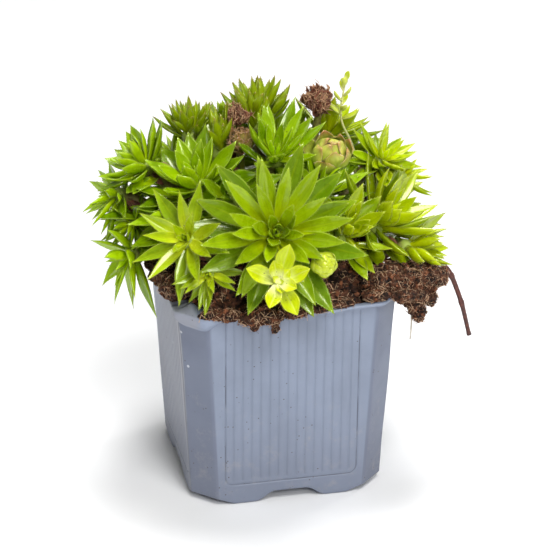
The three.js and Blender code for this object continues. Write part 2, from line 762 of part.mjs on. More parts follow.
for (const rosette of rosettes) {
  const leaves = [];
  for (let i = 0; i < rosette.count; i++) {
    for (const pose of POSES) {
      const leaf = rosetteLeaf(rosette, i, pose);
      const probe = leafProbe(leaf);
      const clear = isClear(rosette.name, probe);
      probe.delete();
      if (clear) {
        leaves.push(keep(rosette.name, leafSolid(leaf)));
        break;
      }
    }
  }
  const solid = wasm.Manifold.union([rosette.stem, ...leaves]);
  const green = rosette.size > 25 ? 0x6f9c1e : 0x86b32a;
  group.add(meshOf(rosette.name, solid, rosette.dry ? 0x5f3a26 : green, 0.45));
}

const box = new THREE.Box3().setFromObject(group);
group.position.set(-(box.min.x + box.max.x) / 2, -(box.min.y + box.max.y) / 2, 0);

export default group;
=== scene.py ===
"""Hens and chicks in a square nursery pot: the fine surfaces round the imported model.

Sizes in the tables are millimetres, measured from the middle of the pot's footprint. Meshes are
made in metres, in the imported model's own frame.
"""

import json
import math

import bmesh
import bpy
from mathutils import Matrix, Vector, noise
from mathutils.bvhtree import BVHTree


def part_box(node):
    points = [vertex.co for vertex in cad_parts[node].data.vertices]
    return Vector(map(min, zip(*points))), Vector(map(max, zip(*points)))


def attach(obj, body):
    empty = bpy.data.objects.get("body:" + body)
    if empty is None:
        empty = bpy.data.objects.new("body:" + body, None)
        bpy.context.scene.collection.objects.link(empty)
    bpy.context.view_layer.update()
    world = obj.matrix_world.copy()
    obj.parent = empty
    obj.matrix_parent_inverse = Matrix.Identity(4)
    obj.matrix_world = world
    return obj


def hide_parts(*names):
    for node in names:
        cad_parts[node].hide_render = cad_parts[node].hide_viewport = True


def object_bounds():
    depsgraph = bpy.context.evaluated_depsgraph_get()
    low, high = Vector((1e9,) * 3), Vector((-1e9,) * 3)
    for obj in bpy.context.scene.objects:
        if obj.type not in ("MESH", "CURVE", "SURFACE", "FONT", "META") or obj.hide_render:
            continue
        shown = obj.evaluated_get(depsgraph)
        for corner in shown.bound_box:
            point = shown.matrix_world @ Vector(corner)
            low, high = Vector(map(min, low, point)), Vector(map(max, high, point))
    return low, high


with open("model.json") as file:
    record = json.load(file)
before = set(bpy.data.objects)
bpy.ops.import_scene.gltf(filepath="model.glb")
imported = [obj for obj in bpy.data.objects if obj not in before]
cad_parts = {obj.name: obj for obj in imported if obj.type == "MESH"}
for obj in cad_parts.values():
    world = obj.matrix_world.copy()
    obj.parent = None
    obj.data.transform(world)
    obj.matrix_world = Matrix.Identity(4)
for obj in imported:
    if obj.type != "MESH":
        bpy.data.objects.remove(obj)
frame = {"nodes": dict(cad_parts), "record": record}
CAD_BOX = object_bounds()

bl_info = {
    "name": "Hens and Chicks in a Nursery Pot",
    "version": (1, 0, 0),
    "blender": (4, 5, 0),
    "location": "View3D > Sidebar > Succulents",
    "description": "Builds a clump of rosettes, its soil, its square pot and a stage",
    "category": "Add Mesh",
}

MM = 0.001
ROOT = "root"  # the one body that every piece rides on
SLOTS = {part["node"]: part["material_slot"] for part in frame["record"]["subparts"]}

# ---- Driving sizes, in millimetres --------------------------------------------------------

POT_LOW, POT_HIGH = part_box("pot")
POT_HEIGHT = (POT_HIGH.z - POT_LOW.z) / MM
SHIFT = Vector(((POT_LOW.x + POT_HIGH.x) / 2, (POT_LOW.y + POT_HIGH.y) / 2, POT_LOW.z)) / MM

RIM_HALF = (POT_HIGH.x - POT_LOW.x) / MM / 2
TOP_HALF = 43  # half width of the body under the rim
FOOT_HALF = 38.6  # half width of the body at the feet
CORNER_CUT = 8.8  # how far each corner is cut back along a side
EDGE_ROUND = 1.6
WALL = 1
NOTCH_HEIGHT = 4.2  # raised cross between the four feet
NOTCH_FLAT = 7  # half widths of the cross, at its top and at the feet
NOTCH_WIDE = 13.5
DRAIN_RADIUS = 3.2
DRAIN_REACH = 22
TOE_START = 43.5  # the outer corners of the feet lift off past this, along the diagonal
TOE_SLOPE = 0.6
FLUTES = 14
FLUTE_PITCH = 3.6
FLUTE_WIDTH = 1.2
FLUTE_LOW = 10.5
PANEL_HALF = 26.6  # middle of the sunk line round each side panel
PANEL_LOW = 8.9
PANEL_ROUND = 3.6
PANEL_LINE = 0.9
RIM_SAG = 1.2  # how far the rim dips between its corners
FLARE_SPOT = (-41, -42)  # the corner where the rim is pressed out and down
FLARE_OUT = 1.3
FLARE_DROP = 3.8
LEDGE_SPOT = (-42, -31)  # the corner where a flat web joins the rim to the soil
LEDGE_REACH = 8
LEDGE_RISE = 2.4

ROOT_DEPTH = 7  # how far a stem goes into the soil
USUAL_REACH = 32  # the furthest from the middle that a stem usually roots
SOIL_RISE = 32  # height of the soil's dome over the rim
SOIL_VOXEL = 1.1  # size of the plug's faces
ROOT_SHARE = 0.25  # a leaf's width at its root in the model, as a share of its widest
LEAF_CUP = 0.16  # how far the edges of a leaf of the model stand over its middle
GOLDEN = 137.508  # degrees from one leaf of a rosette to the next
BETWEEN_TURN = 68.75  # degrees from the model's leaves to the ones between them
TOLERANCE = 0.03  # how near the model's surface a leaf's tip lies where the model has that leaf
SMALL_ROSETTE = 20  # leaf length under which the model cuts a leaf in fewer sections
LAST_CUT_SMALL = 0.52  # the last section before the tip, as a share of the length
LAST_CUT = 0.68
WITHERED = 5  # dead leaves that hang round a stem
SPRIG_LEAVES = 9
FIBRE_STEPS = 5
BOX_MARGIN = 0.05  # how far every leaf stays inside the model's box
FULL_TURN = 6.283  # in radians

# The stage, in metres: half the floor, where the lamps aim, and the camera's aim off the middle.
FLOOR_HALF = 4
LIT_SPOT = (0, 0, 0.09)
AIM_SHIFT = (-0.001, 0, -0.001)

# Where each kind of repeatable draw starts to count.
CUP_DRAW, HOOK_DRAW, TWIST_DRAW, SWAY_DRAW, STEM_DRAW, WITHER_DRAW = 300, 400, 500, 600, 700, 800
BETWEEN_DRAW, SKIRT_RISE_DRAW, SKIRT_LENGTH_DRAW, BETWEEN_KEY = 900, 950, 970, 1000
SIDE_DRAW = 40
BUD_SEED, WITHER_SEED, SPRIG_SEED = 61, 77, 90

# Leaf habits. The first nine values are the model's: width and thick by leaf length, inner and
# outer rise in degrees, bend, young length share, widest, spread and crown. The rest is finish:
# slim     width beside the model's leaf, and taper, how much slimmer a short leaf is
# plump    thickness beside the model's leaf, point, how sharp its end is, dome, how far its top swells
# between  how many leaves fill in, heart, how many stand in the middle, skirt, how many old ones droop
# cup      how far the edges stand up, hook, how far the tip bends in, stretch, how much longer an
#          inner leaf is, twist, its most in degrees, and crumple, in millimetres
HABITS = {
    "hen": dict(
        width=0.26, thick=0.07, inner=62, outer=-2, bend=14, young=0.42, widest=0.6, spread=0.5, crown=1,
        slim=0.96, taper=0.65, plump=0.75, point=1.2, dome=0.1, between=8, heart=10, skirt=0,
        cup=0.3, hook=0.04, stretch=0.36, twist=14, crumple=0.3,
    ),
    "lush": dict(
        width=0.31, thick=0.08, inner=70, outer=2, bend=14, young=0.5, widest=0.56, spread=0.5, crown=1,
        slim=0.98, taper=0.4, plump=0.55, point=1.3, dome=0.1, between=12, heart=7, skirt=9,
        cup=0.36, hook=0.05, stretch=0, twist=18, crumple=0.3,
    ),
    "star": dict(
        width=0.24, thick=0.09, inner=62, outer=-4, bend=10, young=0.6, widest=0.42, spread=0.5, crown=1,
        slim=1.02, taper=0.3, plump=0.6, point=1.35, dome=0.08, between=9, heart=6, skirt=8,
        cup=0.4, hook=0.04, stretch=0, twist=16, crumple=0.3,
    ),
    "broad": dict(
        width=0.54, thick=0.11, inner=50, outer=6, bend=14, young=0.7, widest=0.6, spread=0.5, crown=1,
        slim=1.0, taper=0.0, plump=0.6, point=1.0, dome=0.0, between=0, heart=4, skirt=0,
        cup=0.5, hook=0.03, stretch=0, twist=12, crumple=0.3,
    ),
    "tuft": dict(
        width=0.28, thick=0.09, inner=88, outer=30, bend=8, young=0.75, widest=0.5, spread=0.6, crown=1.4,
        slim=0.94, taper=0.2, plump=0.65, point=1.1, dome=0.15, between=8, heart=5, skirt=0,
        cup=0.4, hook=0.05, stretch=0, twist=24, crumple=0.4,
    ),
    "dry": dict(
        width=0.36, thick=0.1, inner=66, outer=5, bend=80, young=0.8, widest=0.5, spread=0.6, crown=1.1,
        slim=0.55, taper=0.0, plump=0.6, point=0.9, dome=0.0, between=44, heart=26, skirt=0,
        cup=1.1, hook=0.2, stretch=0, twist=230, crumple=3.4,
    ),
}

# A row for each rosette: node, habit, middle of its crown, lean from upright and toward which
# side, leaf length, leaf count, first turn, and how far out its stem roots where not as usual.
ROSETTES = [
    ("chick_front", "broad", -9, -57, 104.5, 62, -97, 14, 7, 60),
    ("hen_rosette", "hen", -5, -34, 114, 58, -99, 35, 27, 70),
    ("chick_right_big", "lush", 41, -11, 104, 52, -22, 31, 16, 0, 26),
    ("chick_left_mid", "lush", -30, -3, 123, 24, -140, 27, 13, 40),
    ("chick_left_star", "star", -38, -28, 112, 54, -125, 22, 14, 10),
    ("chick_behind", "lush", 2, 0, 131, 24, -92, 27, 13, 80),
    ("chick_right_spiky", "star", 46, 4, 125, 46, -45, 18, 13, 30, 22),
    ("chick_right_low", "lush", 51, -20, 97, 80, -24, 24, 12, 15, 35),
    ("chick_right_inner", "lush", 24, -26, 108, 58, -62, 24, 13, 50),
    ("chick_mid_right", "lush", 19, -10, 119, 34, -50, 23, 10, 20),
    ("chick_top", "tuft", -1, 16, 140, 8, 90, 21, 16, 0),
    ("chick_left_top", "lush", -48, 9, 129, 46, 176, 21, 13, 70, 25),
    ("chick_left_tuft", "tuft", -28, 19, 137, 14, 120, 16, 10, 25),
    ("chick_left_far", "star", -59, 10, 117, 74, 178, 20, 11, 0, 34),
    ("chick_left_low", "star", -55, 3, 107, 82, -172, 16, 9, 45),
    ("chick_left_hang", "star", -56, -4, 97, 104, -166, 20, 11, 20, 36),
    ("chick_left_long", "star", -42, -9, 113, 62, -160, 22, 9, 90, 30),
    ("chick_star_low", "star", -32, -38, 102, 74, -112, 15, 8, 35),
    ("chick_left_inner", "lush", -18, -14, 121, 40, -122, 24, 9, 10),
    ("chick_right_small", "star", 56, 7, 116, 52, 5, 15, 9, 10, 33),
    ("chick_upright", "tuft", -18, 9, 132, 12, 150, 21, 8, 65),
    ("chick_back_big", "hen", 6, 36, 117, 56, 84, 30, 18, 33),
    ("chick_back_left", "lush", -31, 33, 114, 52, 128, 25, 11, 12),
    ("chick_back_right", "lush", 36, 31, 114, 52, 44, 25, 11, 75),
    ("chick_back_low_left", "star", -22, 50, 101, 80, 113, 19, 10, 5),
    ("chick_back_low_right", "lush", 25, 50, 100, 82, 64, 18, 9, 48),
    ("chick_back_front", "broad", 1, 56, 103, 74, 92, 13, 8, 20),
    ("chick_right_back", "lush", 50, 21, 101, 76, 20, 22, 11, 55),
    ("chick_back_far", "star", -50, 28, 102, 76, 152, 19, 10, 80),
    ("chick_top_right", "lush", 28, 19, 132, 24, 40, 22, 11, 15),
    ("chick_top_back", "lush", -10, 31, 131, 26, 104, 22, 11, 60),
    ("dead_top", "dry", 23, 13, 146, 14, -60, 12, 11, 0),
    ("dead_small", "dry", -11, 8, 146, 16, -110, 8, 8, 30),
]

# Closed ball offsets: middle, lean, side, radius, scales, first turn, and how far the tips of
# the scales stand off the ball and crumple.
BUDS = [
    ("bud_front", 10, -50, 107, 62, -82, 4.9, 16, 0, 0.0, 0.2),
    ("bud_top", 23, -3, 131, 34, -85, 8, 13, 30, 0.2, 2.6),
    ("bud_brown", -11, 2, 138, 30, -100, 4.8, 14, 10, 0.36, 3.0),
]

# How some rosettes differ from their habit: how much broader and longer their leaves are, how far
# the tips bend back and the leaves sag, and how much lighter they are.
TRAITS = {
    "chick_left_hang": (1.75, 1.05, 0.14, 0.32, 1.6),
    "chick_left_low": (1.3, 1.0, 0.1, 0.16, 0.8),
    "chick_left_far": (1.15, 1.0, 0.1, 0.06, 1.2),
    "chick_left_long": (1.5, 1.0, 0.0, 0.1, -0.6),
    "chick_left_inner": (1.2, 1.0, 0.0, 0.0, -0.4),
    "chick_left_mid": (1.2, 1.0, 0.0, 0.0, 0.3),
    "chick_left_top": (1.1, 1.0, 0.0, 0.0, 0.4),
    "chick_left_star": (1.22, 1.12, 0.06, 0.03, 0.4),
    "chick_star_low": (1.1, 1.0, 0.0, 0.12, 0.3),
    "chick_behind": (0.8, 1.05, 0.0, 0.0, 0.2),
    "chick_right_big": (0.95, 1.04, 0.0, 0.0, 0.0),
    "chick_right_low": (1.0, 1.0, 0.0, 0.05, 0.4),
    "chick_right_inner": (1.05, 1.0, 0.0, 0.0, 0.2),
    "chick_right_spiky": (1.1, 1.0, 0.0, 0.0, 2.4),
    "chick_right_small": (1.1, 1.0, 0.0, 0.0, 1.6),
    "dead_top": (1.1, 0.84, 0.3, 0.0, 0.0),
    "dead_small": (1.1, 0.8, 0.3, 0.0, 0.0),
    "hen_rosette": (1.0, 1.0, 0.07, 0.0, 0.0),
}
USUAL_TRAITS = (1.0, 1.0, 0.0, 0.0, 0.0)
SPARSE = ("chick_left_star", "chick_left_hang")  # their few leaves stand apart
FINE = ("hen_rosette", "chick_front", "chick_left_star", "chick_right_big")  # in front, so finer

# Single leaves beside a crown: rosette, where it roots from the crown's middle, side toward which
# it grows and rise in degrees, length and width.
BESIDE = [
    ("chick_left_mid", -5, -3, -3, 176, 10, 21, 6.5),
    ("chick_left_mid", -7, -7, -7, 180, 3, 19, 5),
    ("chick_left_mid", -4, -6, -6, 214, -6, 18, 7),
    ("chick_left_long", 5, -3, 1, 186, -3, 24, 8),
    ("chick_left_long", 1, -5, -4, 192, -10, 19, 7.5),
    ("chick_left_long", -1, -4, -9, 200, -16, 16, 6.5),
    ("chick_left_long", 2, -6, -10, 236, -14, 15, 6),
    ("chick_left_inner", -5, -4, -4, 200, 2, 17, 6.5),
    ("chick_left_top", -3, -3, -4, 190, 2, 18, 6),
    ("chick_left_top", 0, -4, -5, 228, -4, 16, 6),
    ("chick_left_low", 2, -2, 3, 178, 12, 17, 5),
    ("chick_right_spiky", -3, -2, 0, 196, 6, 15, 5),
    ("chick_right_spiky", -2, -3, -2, 220, -4, 15, 5.5),
    ("chick_right_spiky", 0, -3, -3, 262, -8, 16, 6),
    ("chick_right_inner", 2, 2, -2, 20, 8, 17, 6.5),
    ("chick_right_inner", 3, -2, -4, -30, -6, 16, 6.5),
    ("chick_right_big", 2, -4, -6, -74, -22, 17, 7),
    ("chick_right_big", 5, -1, -7, -38, -26, 18, 7),
    ("chick_right_big", -3, -6, -5, -96, -18, 16, 6.5),
    ("chick_right_big", 6, -4, -10, -56, -36, 15, 7.5),
    ("chick_right_big", 8, 1, -8, -12, -30, 16, 9),
    ("chick_mid_right", 2, -3, -4, -70, -6, 15, 6),
    ("chick_mid_right", 3, -2, -9, -24, -10, 19, 8),
    ("chick_mid_right", 0, -2, -10, -66, -16, 16, 8),
    ("chick_mid_right", 4, 1, -5, 4, 2, 18, 7),
    ("chick_mid_right", 5, 3, -10, 24, -4, 18, 8),
    ("chick_mid_right", 2, 2, -2, 44, 0, 19, 8),
    ("chick_mid_right", 0, 3, -5, 70, -6, 17, 8),
    ("chick_left_mid", -4, 2, -4, 160, -8, 20, 7.5),
    ("chick_left_mid", -3, 3, -8, 168, -14, 20, 7.5),
    ("chick_right_big", 6, 2, -5, 10, -24, 18, 7.5),
    ("chick_mid_right", 6, 6, 1.5, 35, 10, 18, 9),
    ("chick_mid_right", 3, 5, -4, 38, 2, 17, 9),
    ("chick_left_top", 3, -4, -4, 232, -6, 17, 8),
]

# Poses that a leaf of the model may have taken: lift and swing in degrees, share of its length.
POSES = [
    (0, 0, 1), (7, 0, 1), (-7, 0, 1), (0, 9, 1), (0, -9, 1), (14, 0, 1), (-14, 0, 1), (10, 14, 1),
    (10, -14, 1), (22, 0, 1), (0, 20, 0.95), (0, -20, 0.95), (0, 0, 0.85), (14, 0, 0.85),
    (30, 0, 0.95), (22, 18, 0.9), (22, -18, 0.9), (40, 0, 0.9), (14, 0, 0.7), (30, 0, 0.75),
    (50, 0, 0.8), (0, 0, 0.6),
]

# Soil that spills over the rim: middle and half sizes of each lump.
SPILLS = [
    (-33, -43.2, 86.6, 5, 2.4, 1.8), (-26, -44.2, 86.2, 5, 2.6, 2.2), (-17, -45, 84.8, 4.6, 2.6, 2.8),
    (-16, -46.2, 82, 1.8, 1.2, 2.4), (-9, -45.2, 84.2, 5, 2.6, 2.6), (-8, -46.4, 80.6, 1.5, 1.1, 2.4),
    (0, -44.6, 84.8, 5, 2.2, 1.9), (9, -44.2, 85.6, 4.5, 1.9, 1.5), (19, -43.6, 86.4, 5, 1.8, 1.5),
    (41, -33, 89.5, 12, 9, 6.6), (52, -31, 89, 9, 8, 5.2), (60, -30, 88, 5, 5.5, 4),
    (50, -38, 84, 4.6, 4, 5), (51.5, -38.5, 77.5, 2.6, 2.4, 4), (56, -36, 82, 3, 3, 3.4),
    (44, -42, 87, 5, 3, 2.4), (33, -42, 88, 6, 2.6, 2.2),
    (-42, -22, 90, 6.5, 7, 4.6), (-44, -10, 91, 6.5, 7.5, 5.4), (-44, 2, 91.5, 6, 7, 5.2),
]
SPRIG = [(37, 13, 98), (37, 12, 126), (30.5, 8, 143), (32, 8, 159)]
STOLON = [(46, -24, 90), (57, -22, 91.5), (66.8, -19, 87), (73.6, -18, 73), (78.4, -18, 55)]
ROOTLET = [(48, -37, 82), (48.5, -38, 74), (48, -38.5, 66)]

# ---- Colours ------------------------------------------------------------------------------

# A row for each leaf slot: body, root, tip, margin and old leaf colours, and the tip's strength.
LEAF_COLOURS = {
    "hen_leaf": (
        (0.262, 0.385, 0.001), (0.44, 0.52, 0.001), (0.33, 0.44, 0.02),
        (0.43, 0.53, 0.08), (0.088, 0.178, 0.001), 0.5,
    ),
    "yellow_leaf": (
        (0.56, 0.64, 0.002), (0.95, 0.96, 0.50), (0.56, 0.63, 0.01),
        (0.66, 0.70, 0.08), (0.50, 0.60, 0.002), 0.4,
    ),
    "lime_leaf": (
        (0.345, 0.44, 0.001), (0.485, 0.54, 0.001), (0.51, 0.58, 0.06),
        (0.54, 0.60, 0.11), (0.18, 0.286, 0.001), 0.7,
    ),
    "star_leaf": (
        (0.305, 0.414, 0.001), (0.58, 0.64, 0.02), (0.41, 0.48, 0.03),
        (0.50, 0.56, 0.09), (0.185, 0.294, 0.001), 0.5,
    ),
    "side_leaf": (
        (0.243, 0.392, 0.001), (0.432, 0.581, 0.002), (0.32, 0.42, 0.05),
        (0.42, 0.51, 0.09), (0.121, 0.23, 0.001), 0.5,
    ),
    "tuft_leaf": (
        (0.21, 0.30, 0.001), (0.31, 0.38, 0.002), (0.17, 0.10, 0.015),
        (0.34, 0.36, 0.05), (0.12, 0.19, 0.001), 1.0,
    ),
    "back_leaf": (
        (0.218, 0.345, 0.001), (0.368, 0.494, 0.003), (0.32, 0.41, 0.04),
        (0.42, 0.51, 0.08), (0.115, 0.218, 0.001), 0.5,
    ),
    "bud_green": (
        (0.46, 0.54, 0.02), (0.50, 0.58, 0.03), (0.54, 0.56, 0.07),
        (0.60, 0.66, 0.18), (0.40, 0.49, 0.015), 0.4,
    ),
    "bud_pale": (
        (0.55, 0.56, 0.10), (0.30, 0.40, 0.03), (0.50, 0.21, 0.12),
        (0.60, 0.46, 0.22), (0.40, 0.44, 0.05), 1.0,
    ),
    "bud_brown": (
        (0.30, 0.20, 0.06), (0.17, 0.19, 0.02), (0.26, 0.08, 0.05),
        (0.68, 0.42, 0.27), (0.16, 0.10, 0.03), 1.0,
    ),
    "sprig_green": (
        (0.46, 0.54, 0.01), (0.74, 0.72, 0.34), (0.50, 0.56, 0.02),
        (0.60, 0.64, 0.14), (0.40, 0.48, 0.01), 0.3,
    ),
}


# ---- Settings that a user would change ----------------------------------------------------

class PotSettings(bpy.types.PropertyGroup):
    flute_depth: bpy.props.FloatProperty(
        name="Flute depth", description="Depth of the upright grooves", default=0.38 * MM, min=0,
        unit="LENGTH",
    )
    unevenness: bpy.props.FloatProperty(
        name="Unevenness", description="How far the thin walls wander", default=0.3 * MM, min=0, unit="LENGTH"
    )
    colour: bpy.props.FloatVectorProperty(
        name="Plastic", description="Colour of the moulded plastic", subtype="COLOR",
        default=(0.212, 0.249, 0.332), min=0, max=1,
    )


class LeafSettings(bpy.types.PropertyGroup):
    fringe: bpy.props.FloatProperty(
        name="Fringe", description="Length of the hairs along a leaf's edge", default=0.45 * MM, min=0,
        unit="LENGTH",
    )
    roughness: bpy.props.FloatProperty(
        name="Roughness", description="Roughness of a leaf's skin", default=0.26, min=0, max=1,
        subtype="FACTOR",
    )


class SoilSettings(bpy.types.PropertyGroup):
    crumbs: bpy.props.IntProperty(
        name="Crumbs", description="Loose crumbs for each square centimetre", default=27, min=0
    )
    crumb_size: bpy.props.FloatProperty(
        name="Crumb size", description="Usual size of a crumb", default=1.5 * MM, min=0, unit="LENGTH"
    )
    fibres: bpy.props.IntProperty(
        name="Fibres", description="Loose fibres for each square centimetre", default=20, min=0
    )
    colour: bpy.props.FloatVectorProperty(
        name="Peat", description="Colour of the moist peat", subtype="COLOR",
        default=(0.076, 0.027, 0.012), min=0, max=1,
    )


class StageSettings(bpy.types.PropertyGroup):
    azimuth: bpy.props.FloatProperty(
        name="Azimuth", description="Where the camera stands round the part", default=math.radians(-12.3),
        subtype="ANGLE",
    )
    elevation: bpy.props.FloatProperty(
        name="Elevation", description="How high the camera stands", default=math.radians(24.8),
        subtype="ANGLE",
    )
    distance: bpy.props.FloatProperty(
        name="Distance", description="From the camera to the part", default=1.037, unit="LENGTH"
    )
    lens: bpy.props.FloatProperty(name="Lens", description="Focal length in millimetres", default=168)
    light: bpy.props.FloatProperty(
        name="Light", description="Strength of the whole lighting", default=1.0, min=0
    )


# ---- Short ways to make trees and meshes --------------------------------------------------

class Tree:
    """Adds nodes to a node tree and joins them, so that a formula reads as one line."""

    def __init__(self, tree):
        self.tree = tree

    def add(self, kind, *values, out=0, named=None, **settings):
        """A new node with its inputs filled in order, or by name. Gives back one output."""
        node = self.tree.nodes.new(kind)
        for key, value in settings.items():
            setattr(node, key, value)
        pairs = list(enumerate(values)) + list((named or {}).items())
        for key, value in pairs:
            if isinstance(value, bpy.types.NodeSocket):
                self.tree.links.new(value, node.inputs[key])
            elif value is not None:
                node.inputs[key].default_value = value
        return node.outputs[out]

    def math(self, operation, a, b=None, c=None):
        return self.add("ShaderNodeMath", a, b, c, operation=operation)

    def times(self, first, *others):
        """The product of several values."""
        for other in others:
            first = self.math("MULTIPLY", first, other)
        return first

    def vector(self, operation, a, b=None):
        return self.add("ShaderNodeVectorMath", a, b, operation=operation)

    def scaled(self, vector, share):
        return self.add("ShaderNodeVectorMath", vector, named={"Scale": share}, operation="SCALE")

    def band(self, value, low, high, low_to=0.0, high_to=1.0):
        """Smooth change from low_to to high_to while value goes from low to high."""
        return self.add(
            "ShaderNodeMapRange", value, low, high, low_to, high_to, interpolation_type="SMOOTHSTEP"
        )

    def mix(self, share, a, b, blend="MIX"):
        """Colour a where share is 0, b where it is 1. Either is a socket or a colour."""
        a, b = (value if isinstance(value, bpy.types.NodeSocket) else rgba(value) for value in (a, b))
        named = {0: share, 6: a, 7: b}
        return self.add("ShaderNodeMix", named=named, out=2, data_type="RGBA", blend_type=blend)

    def noise(self, vector, scale, detail=2.0, roughness=0.5):
        return self.add(
            "ShaderNodeTexNoise",
            named={"Vector": vector, "Scale": scale, "Detail": detail, "Roughness": roughness},
        )

    def cells(self, vector, scale, out="Distance"):
        """Cells of about one size: how far their middle is, or a colour for each."""
        return self.add("ShaderNodeTexVoronoi", named={"Vector": vector, "Scale": scale}, out=out)

    def place(self):
        return self.add("ShaderNodeTexCoord", out="Object")

    def read(self, name):
        """A number that the mesh carries, read in a material."""
        return self.add("ShaderNodeAttribute", attribute_name=name, out="Fac")

    def number(self, name):
        """A number that the mesh carries, read in Geometry Nodes."""
        return self.add("GeometryNodeInputNamedAttribute", name, data_type="FLOAT")

    def arrow(self, name):
        return self.add("GeometryNodeInputNamedAttribute", name, data_type="FLOAT_VECTOR")

    def draw(self, seed, low=0.0, high=1.0):
        """A number for each point, drawn evenly between low and high."""
        named = {"Seed": seed, 2: low, 3: high}
        return self.add("FunctionNodeRandomValue", named=named, out=1, data_type="FLOAT")

    def surface(self, shader, colour, roughness, height, strength, distance):
        """Joins a colour, a roughness and a relief, its distance in millimetres, to a shader."""
        bump = self.add(
            "ShaderNodeBump",
            named={"Strength": strength, "Distance": distance * MM, "Height": height},
        )
        for value, socket in ((colour, "Base Color"), (roughness, "Roughness"), (bump, "Normal")):
            self.tree.links.new(value, shader.inputs[socket])


def rgba(colour):
    return (*colour[:3], 1.0)


def shaded(colour, share):
    return tuple(min(1.0, share * channel) for channel in colour)


def new_group(name, kind, inputs, outputs):
    """A node group with named sockets. Gives back its tree, its input node and its output node."""
    group = bpy.data.node_groups.new(name, kind)
    for label, socket, default in inputs:
        made = group.interface.new_socket(label, in_out="INPUT", socket_type=socket)
        if default is not None:
            made.default_value = default
    for label, socket in outputs:
        group.interface.new_socket(label, in_out="OUTPUT", socket_type=socket)
    return group, Tree(group), group.nodes.new("NodeGroupInput"), group.nodes.new("NodeGroupOutput")


def new_material(name):
    """An empty material with a Principled shader. Gives back the material, its tree and shader."""
    material = bpy.data.materials.new(name)
    material.use_nodes = True
    shader = material.node_tree.nodes["Principled BSDF"]
    return material, Tree(material.node_tree), shader


def new_object(name, mesh):
    made = bpy.data.objects.new(name, mesh)
    bpy.context.scene.collection.objects.link(made)
    return made


def mesh_of(name, points, faces, attributes=None):
    """A mesh in metres from points in millimetres from the pot's middle."""
    mesh = bpy.data.meshes.new(name)
    mesh.from_pydata([in_row(p) for p in points], [], faces)
    for key, values in (attributes or {}).items():
        set_attribute(mesh, key, values)
    return mesh


def set_attribute(mesh, key, values):
    if isinstance(values[0], (Vector, tuple)):
        attribute = mesh.attributes.new(key, "FLOAT_VECTOR", "POINT")
        attribute.data.foreach_set("vector", [x for value in values for x in value])
    else:
        attribute = mesh.attributes.new(key, "FLOAT", "POINT")
        attribute.data.foreach_set("value", values)


def in_row(point):
    """A point in millimetres from the pot's middle, in metres in the model's frame."""
    return (Vector(point) + SHIFT) * MM


def in_pot(point):
    return Vector(point) / MM - SHIFT


def give_inputs(modifier, values):
    """Sets a Geometry Nodes modifier's inputs, found by name and set by identifier."""
    for item in modifier.node_group.interface.items_tree:
        if item.item_type == "SOCKET" and item.in_out == "INPUT" and item.name in values:
            modifier[item.identifier] = values[item.name]


def grown(name, source, group, values):
    """Runs a Geometry Nodes group on an object and gives back the result as a plain object."""
    modifier = source.modifiers.new(group.name, "NODES")
    modifier.node_group = group
    give_inputs(modifier, values)
    depsgraph = bpy.context.evaluated_depsgraph_get()
    mesh = bpy.data.meshes.new_from_object(source.evaluated_get(depsgraph), depsgraph=depsgraph)
    source.modifiers.remove(modifier)
    mesh.name = name
    return new_object(name, mesh)


def bake_modifiers(thing):
    """Leaves an object with the plain mesh that its modifiers make."""
    depsgraph = bpy.context.evaluated_depsgraph_get()
    thing.data = bpy.data.meshes.new_from_object(thing.evaluated_get(depsgraph), depsgraph=depsgraph)
    thing.modifiers.clear()


def dress(thing, material):
    """Smooth shading and one material."""
    thing.data.shade_smooth()
    thing.data.materials.clear()
    thing.data.materials.append(material)


def discard(*objects):
    for thing in objects:
        bpy.data.objects.remove(thing)


def finish_piece(piece, node=None, slot=None):
    """Lets a piece ride on the part and stand for its node. Its slot is not used."""
    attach(piece, ROOT)
    if node:
        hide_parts(node)


def wobble(a, b):
    """A repeatable draw between -1 and 1."""
    wave = math.sin(a * 12.9898 + b * 78.233) * 43758.5453
    return 2 * (wave - math.floor(wave)) - 1


def smooth(value, low, high):
    share = min(1.0, max(0.0, (value - low) / (high - low)))
    return share * share * (3 - 2 * share)


# ---- Leaves -------------------------------------------------------------------------------

class Leaf:
    """A leaf as the model bends it: where it roots, which way it grows, and its sizes."""

    def __init__(self, root, radial, up, rise, bend, length, width, thick, widest, age=0.5, draw=0.0):
        self.root, self.radial, self.up = root, radial, up
        self.rise, self.bend, self.length = rise, bend, length
        self.width, self.thick, self.widest = width, thick, widest
        self.age, self.draw = age, draw

    def section(self, s):
        """Middle, face direction, half width and keel depth at s from root 0 to tip 1."""
        angle = self.rise + self.bend * s
        out = (math.sin(angle) - math.sin(self.rise)) / self.bend
        lift = (math.cos(self.rise) - math.cos(angle)) / self.bend
        middle = self.root + (self.radial * out + self.up * lift) * self.length
        face = self.up * math.cos(angle) - self.radial * math.sin(angle)
        half = self.width / 2 * leaf_outline(s, self.widest, ROOT_SHARE)
        return middle, face, half, self.thick * plumpness(s)

    def ring(self, s):
        middle, face, half, keel = self.section(s)
        side = self.up.cross(self.radial)
        edge = face * (LEAF_CUP * half)
        return [middle - side * half + edge, middle + side * half + edge, middle - face * keel]

    def strip(self):
        """Points and faces of a flat band along the leaf, to test a place with."""
        side = self.up.cross(self.radial)
        points = []
        for s in (0.2, 0.4, 0.6, 0.8, 1):
            middle, face, half, keel = self.section(s)
            half = max(half, 0.3)
            points += [middle - side * half, middle + side * half - face * (keel / 2)]
        faces = [(k, k + 1, k + 3, k + 2) for k in (0, 2, 4, 6)]
        return points, faces


def leaf_outline(s, widest, root_share, point=0.8):
    """Half width as a share of the widest."""
    if s < widest:
        return root_share + (1 - root_share) * math.sin(math.pi / 2 * (s / widest))
    return max(0.0, math.cos(math.pi / 2 * (s - widest) / (1 - widest))) ** point


def plumpness(s):
    return 0.6 + 1.6 * s * (1.1 - s)


